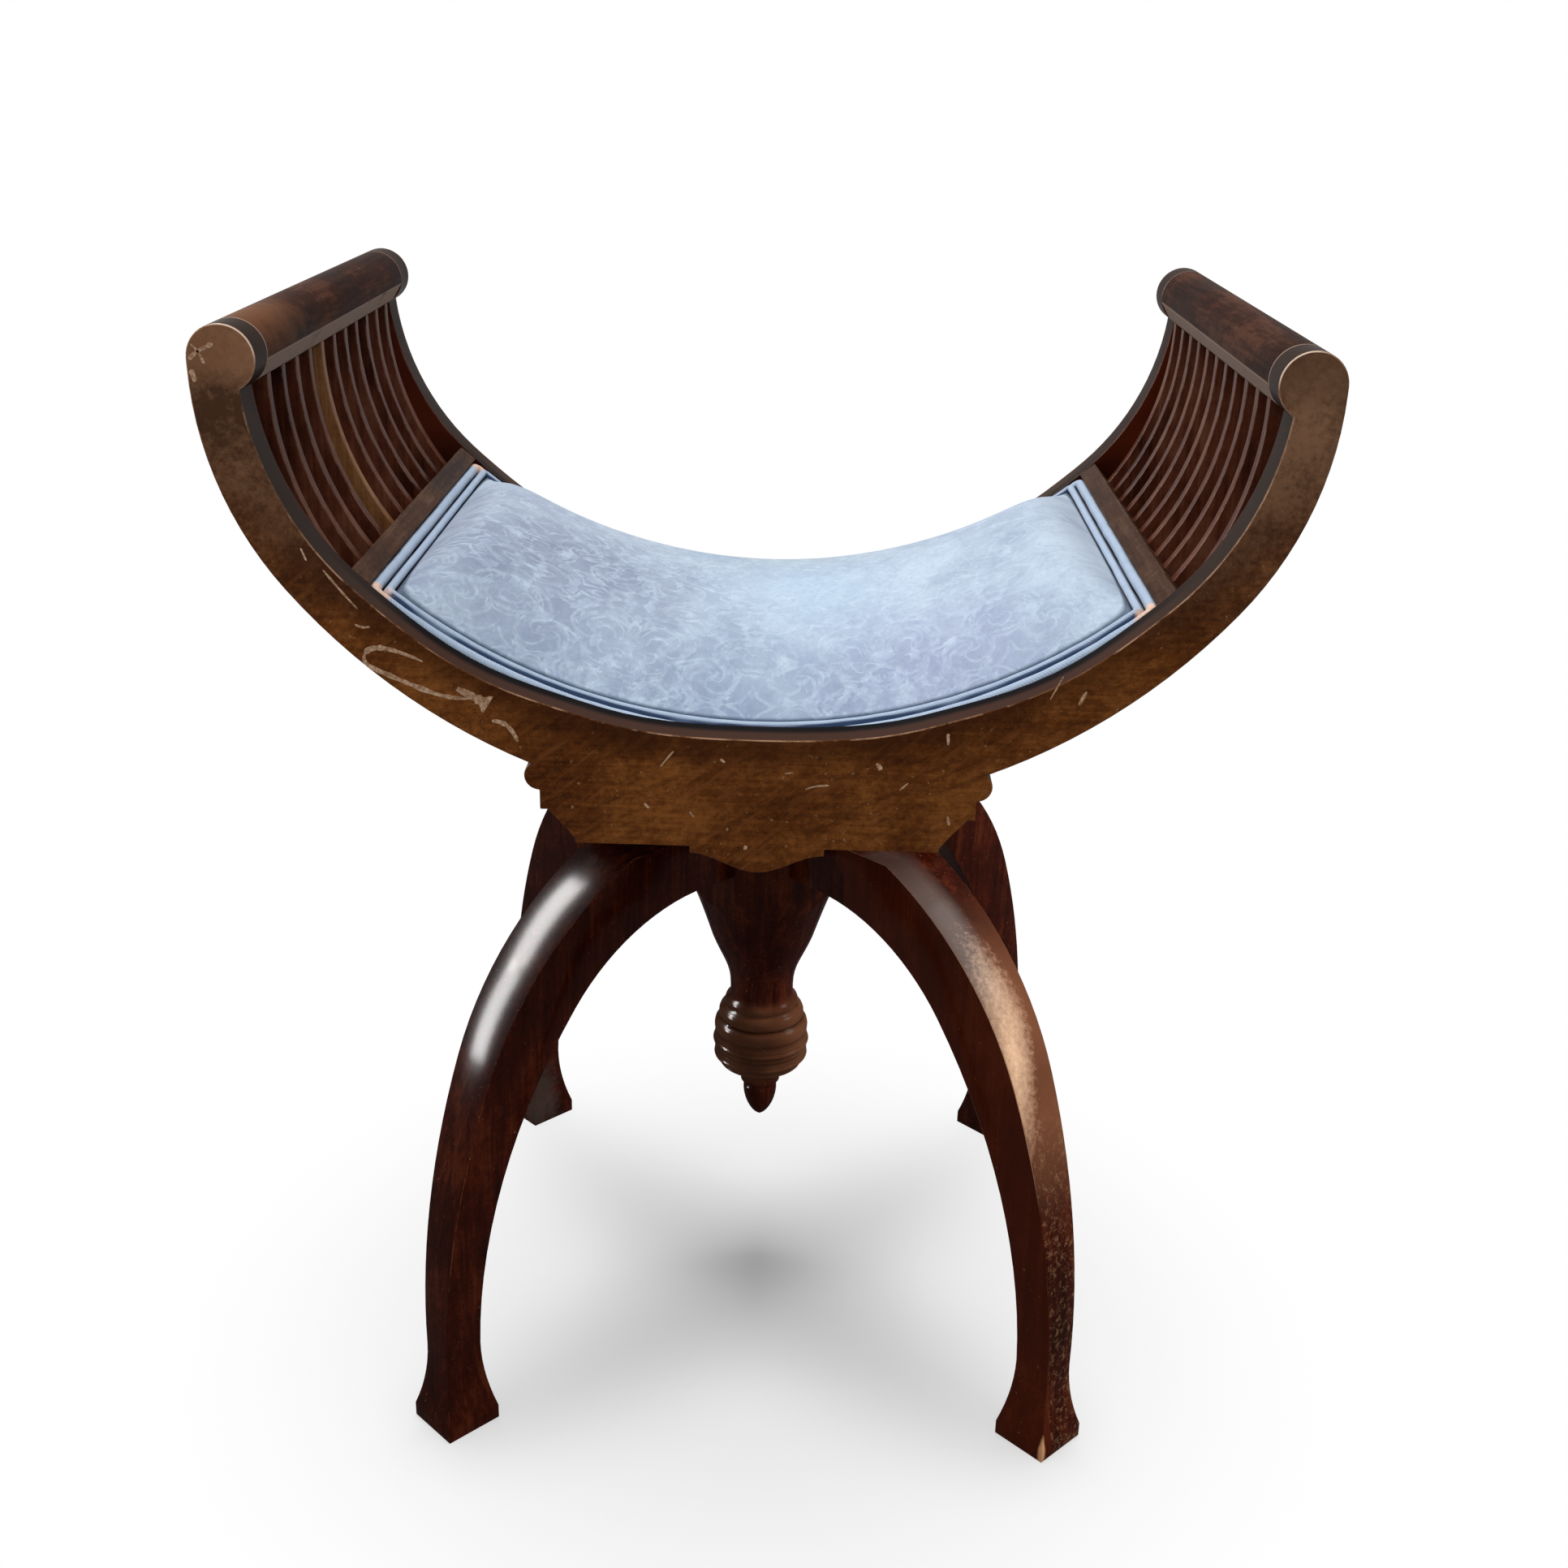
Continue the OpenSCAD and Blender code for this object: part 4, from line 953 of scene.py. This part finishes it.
# the cloth has pulled a little out of true
drift = add(tree, "TexNoise", out="Color", Vector=flat, Scale=38.0, Detail=4.0, Roughness=0.6)
drift = add(tree, "VectorMath", "MULTIPLY_ADD", a=drift, b=(0.011, 0.011, 0), c=flat)
# one repeat of 150 by 130 mm, mirrored both ways. Each centre throws three curling arms and
# stands in a ring of petals, and small leaves fill the ground between.
cell = add(tree, "VectorMath", "MULTIPLY", a=drift, b=(1 / 0.150, 1 / 0.130, 0))
cell_x, cell_y = (add(tree, "Math", "PINGPONG", b=0.5, a=add(tree, "SeparateXYZ", out=axis, Vector=cell))
                  for axis in "XY")
cell = add(tree, "CombineXYZ", X=cell_x, Y=cell_y)
centre, from_centre = (add(tree, "TexVoronoi", {"voronoi_dimensions": "2D"}, out=wanted, Vector=cell,
                           Scale=4.2, Randomness=0.8) for wanted in ("Position", "Distance"))
arm = add(tree, "VectorMath", "SUBTRACT", a=cell, b=centre)
arm_x, arm_y = (add(tree, "SeparateXYZ", out=axis, Vector=arm) for axis in "XY")
arm = add(tree, "Math", "ARCTAN2", a=arm_y, b=arm_x)
spiral = add(tree, "Math", "MULTIPLY", a=from_centre, b=3.4)
arm = add(tree, "Math", "MULTIPLY_ADD", a=arm, b=3 / math.tau, c=spiral)
curl = add(tree, "Math", "PINGPONG", a=arm, b=0.5)
curl = add(tree, "MapRange", Value=curl, From_Min=0.15, From_Max=0.04)
petal = add(tree, "Math", "MULTIPLY", a=arm, b=2.0)
petal = add(tree, "Math", "PINGPONG", a=petal, b=0.5)
petal = add(tree, "Math", "MULTIPLY_ADD", a=petal, b=0.16, c=from_centre)
petal = add(tree, "Math", "SUBTRACT", a=petal, b=0.46)
petal = add(tree, "Math", "ABSOLUTE", a=petal)
petal = add(tree, "MapRange", Value=petal, From_Min=0.045, From_Max=0.012)
scroll = add(tree, "Math", "MAXIMUM", a=curl, b=petal)
leafy = add(tree, "TexNoise", Vector=cell, Scale=13.0, Detail=2.0, Distortion=1.2)
leaf = add(tree, "MapRange", Value=leafy, From_Min=0.50, From_Max=0.55)
wear = add(tree, "TexNoise", Vector=flat, Scale=70.0, Detail=6.0, Roughness=0.75)
wear = add(tree, "MapRange", Value=wear, From_Min=0.38, From_Max=0.58, To_Min=0.12)
leaf = add(tree, "Math", "MULTIPLY", a=leaf, b=wear)
scroll = add(tree, "Math", "MULTIPLY", a=scroll, b=wear)
# the dye has gone unevenly: lilac to the left, sky blue in the middle, grey green at the back; the darker
# blue along the front is painted shade on the front slope, and the dark lilac on the left is lilac dye with
# painted shade
cloudy = add(tree, "TexNoise", Vector=flat, Scale=14.0, Detail=5.0, Roughness=0.65)
cloudy = add(tree, "MapRange", Value=cloudy, From_Min=0.36, From_Max=0.64)
ground = add(tree, "Mix", rgb, out=2, a=cloudy, g="a2b2c8", h="c4d4e6")
for spot, reach, shade in (
        ((-0.15, -0.04, 0), (0.16, 0.15, 1), "6c6e8e"), ((0.0, -0.15, 0), (0.30, 0.07, 1), "8797b6"),
        ((0.03, -0.02, 0), (0.085, 0.10, 1), "b3cfe6"), ((0.10, -0.12, 0), (0.09, 0.07, 1), "a4a9cc"),
        ((0.00, 0.09, 0), (0.16, 0.08, 1), "a3b2b6"), ((-0.045, 0.055, 0), (0.035, 0.035, 1), "8ea9c6")):
    dye_and_shade = patch_near(tree, flat, spot, reach, 40.0, 1.1)
    dye_and_shade = add(tree, "Math", "MULTIPLY", a=dye_and_shade, b=0.7)
    ground = add(tree, "Mix", rgb, out=2, a=dye_and_shade, g=ground, h=shade)
colour = ground
for pattern, shade in ((leaf, "c3d5ea"), (scroll, "d0e0f0")):
    share = add(tree, "Math", "MULTIPLY", a=pattern, b=0.42)
    colour = add(tree, "Mix", rgb, out=2, a=share, g=colour, h=shade)
# the ribs of the ground catch dust, in flecks a few threads across
fleck = add(tree, "TexNoise", Vector=flat, Scale=260.0, Detail=5.0, Roughness=0.75)
fleck = add(tree, "MapRange", Value=fleck, From_Min=0.50, From_Max=0.70, To_Max=0.38)
colour = add(tree, "Mix", rgb, out=2, a=fleck, g=colour, h="8795a8")
# dirt and painted shade in the crease against the cord
radius = from_bend(tree, here)
crease = add(tree, "MapRange", Value=radius, From_Min=curve_r - 0.0022, From_Max=curve_r - 0.0008,
             To_Max=0.85)
colour = add(tree, "Mix", rgb, out=2, a=crease, g=colour, h="33475f")
satin = add(tree, "MapRange", Value=leaf, To_Min=0.8, To_Max=0.6)
# threads 1.7 mm apart, where the real ones are too fine to show
thread = add(tree, "TexWave", {"wave_type": "BANDS", "bands_direction": "X"}, Vector=flat, Scale=180.0,
             Distortion=0.6)
relief = add(tree, "Math", "MULTIPLY_ADD", a=thread, b=0.25, c=leaf)
bump = add(tree, "Bump", Strength=0.35, Distance=0.0003, Height=relief)
# small puckers run in from the seams and die out within two fingers' breadth
pucker = add(tree, "TexNoise", Vector=flat, Scale=120.0, Detail=2.0)
away = add(tree, "MapRange", Value=radius, From_Min=curve_r - 0.018, From_Max=curve_r)
pucker = add(tree, "Math", "MULTIPLY", a=pucker, b=away)
bump = add(tree, "Bump", Strength=0.5, Distance=0.0028, Height=pucker, Normal=bump)
add(tree, "OutputMaterial", Surface=add(
    tree, "BsdfPrincipled", Base_Color=colour, Roughness=satin, Normal=bump, Specular_IOR_Level=0.3,
    Sheen_Weight=0.15, Sheen_Roughness=0.4))
cushion.data.materials.clear()
cushion.data.materials.append(damask)
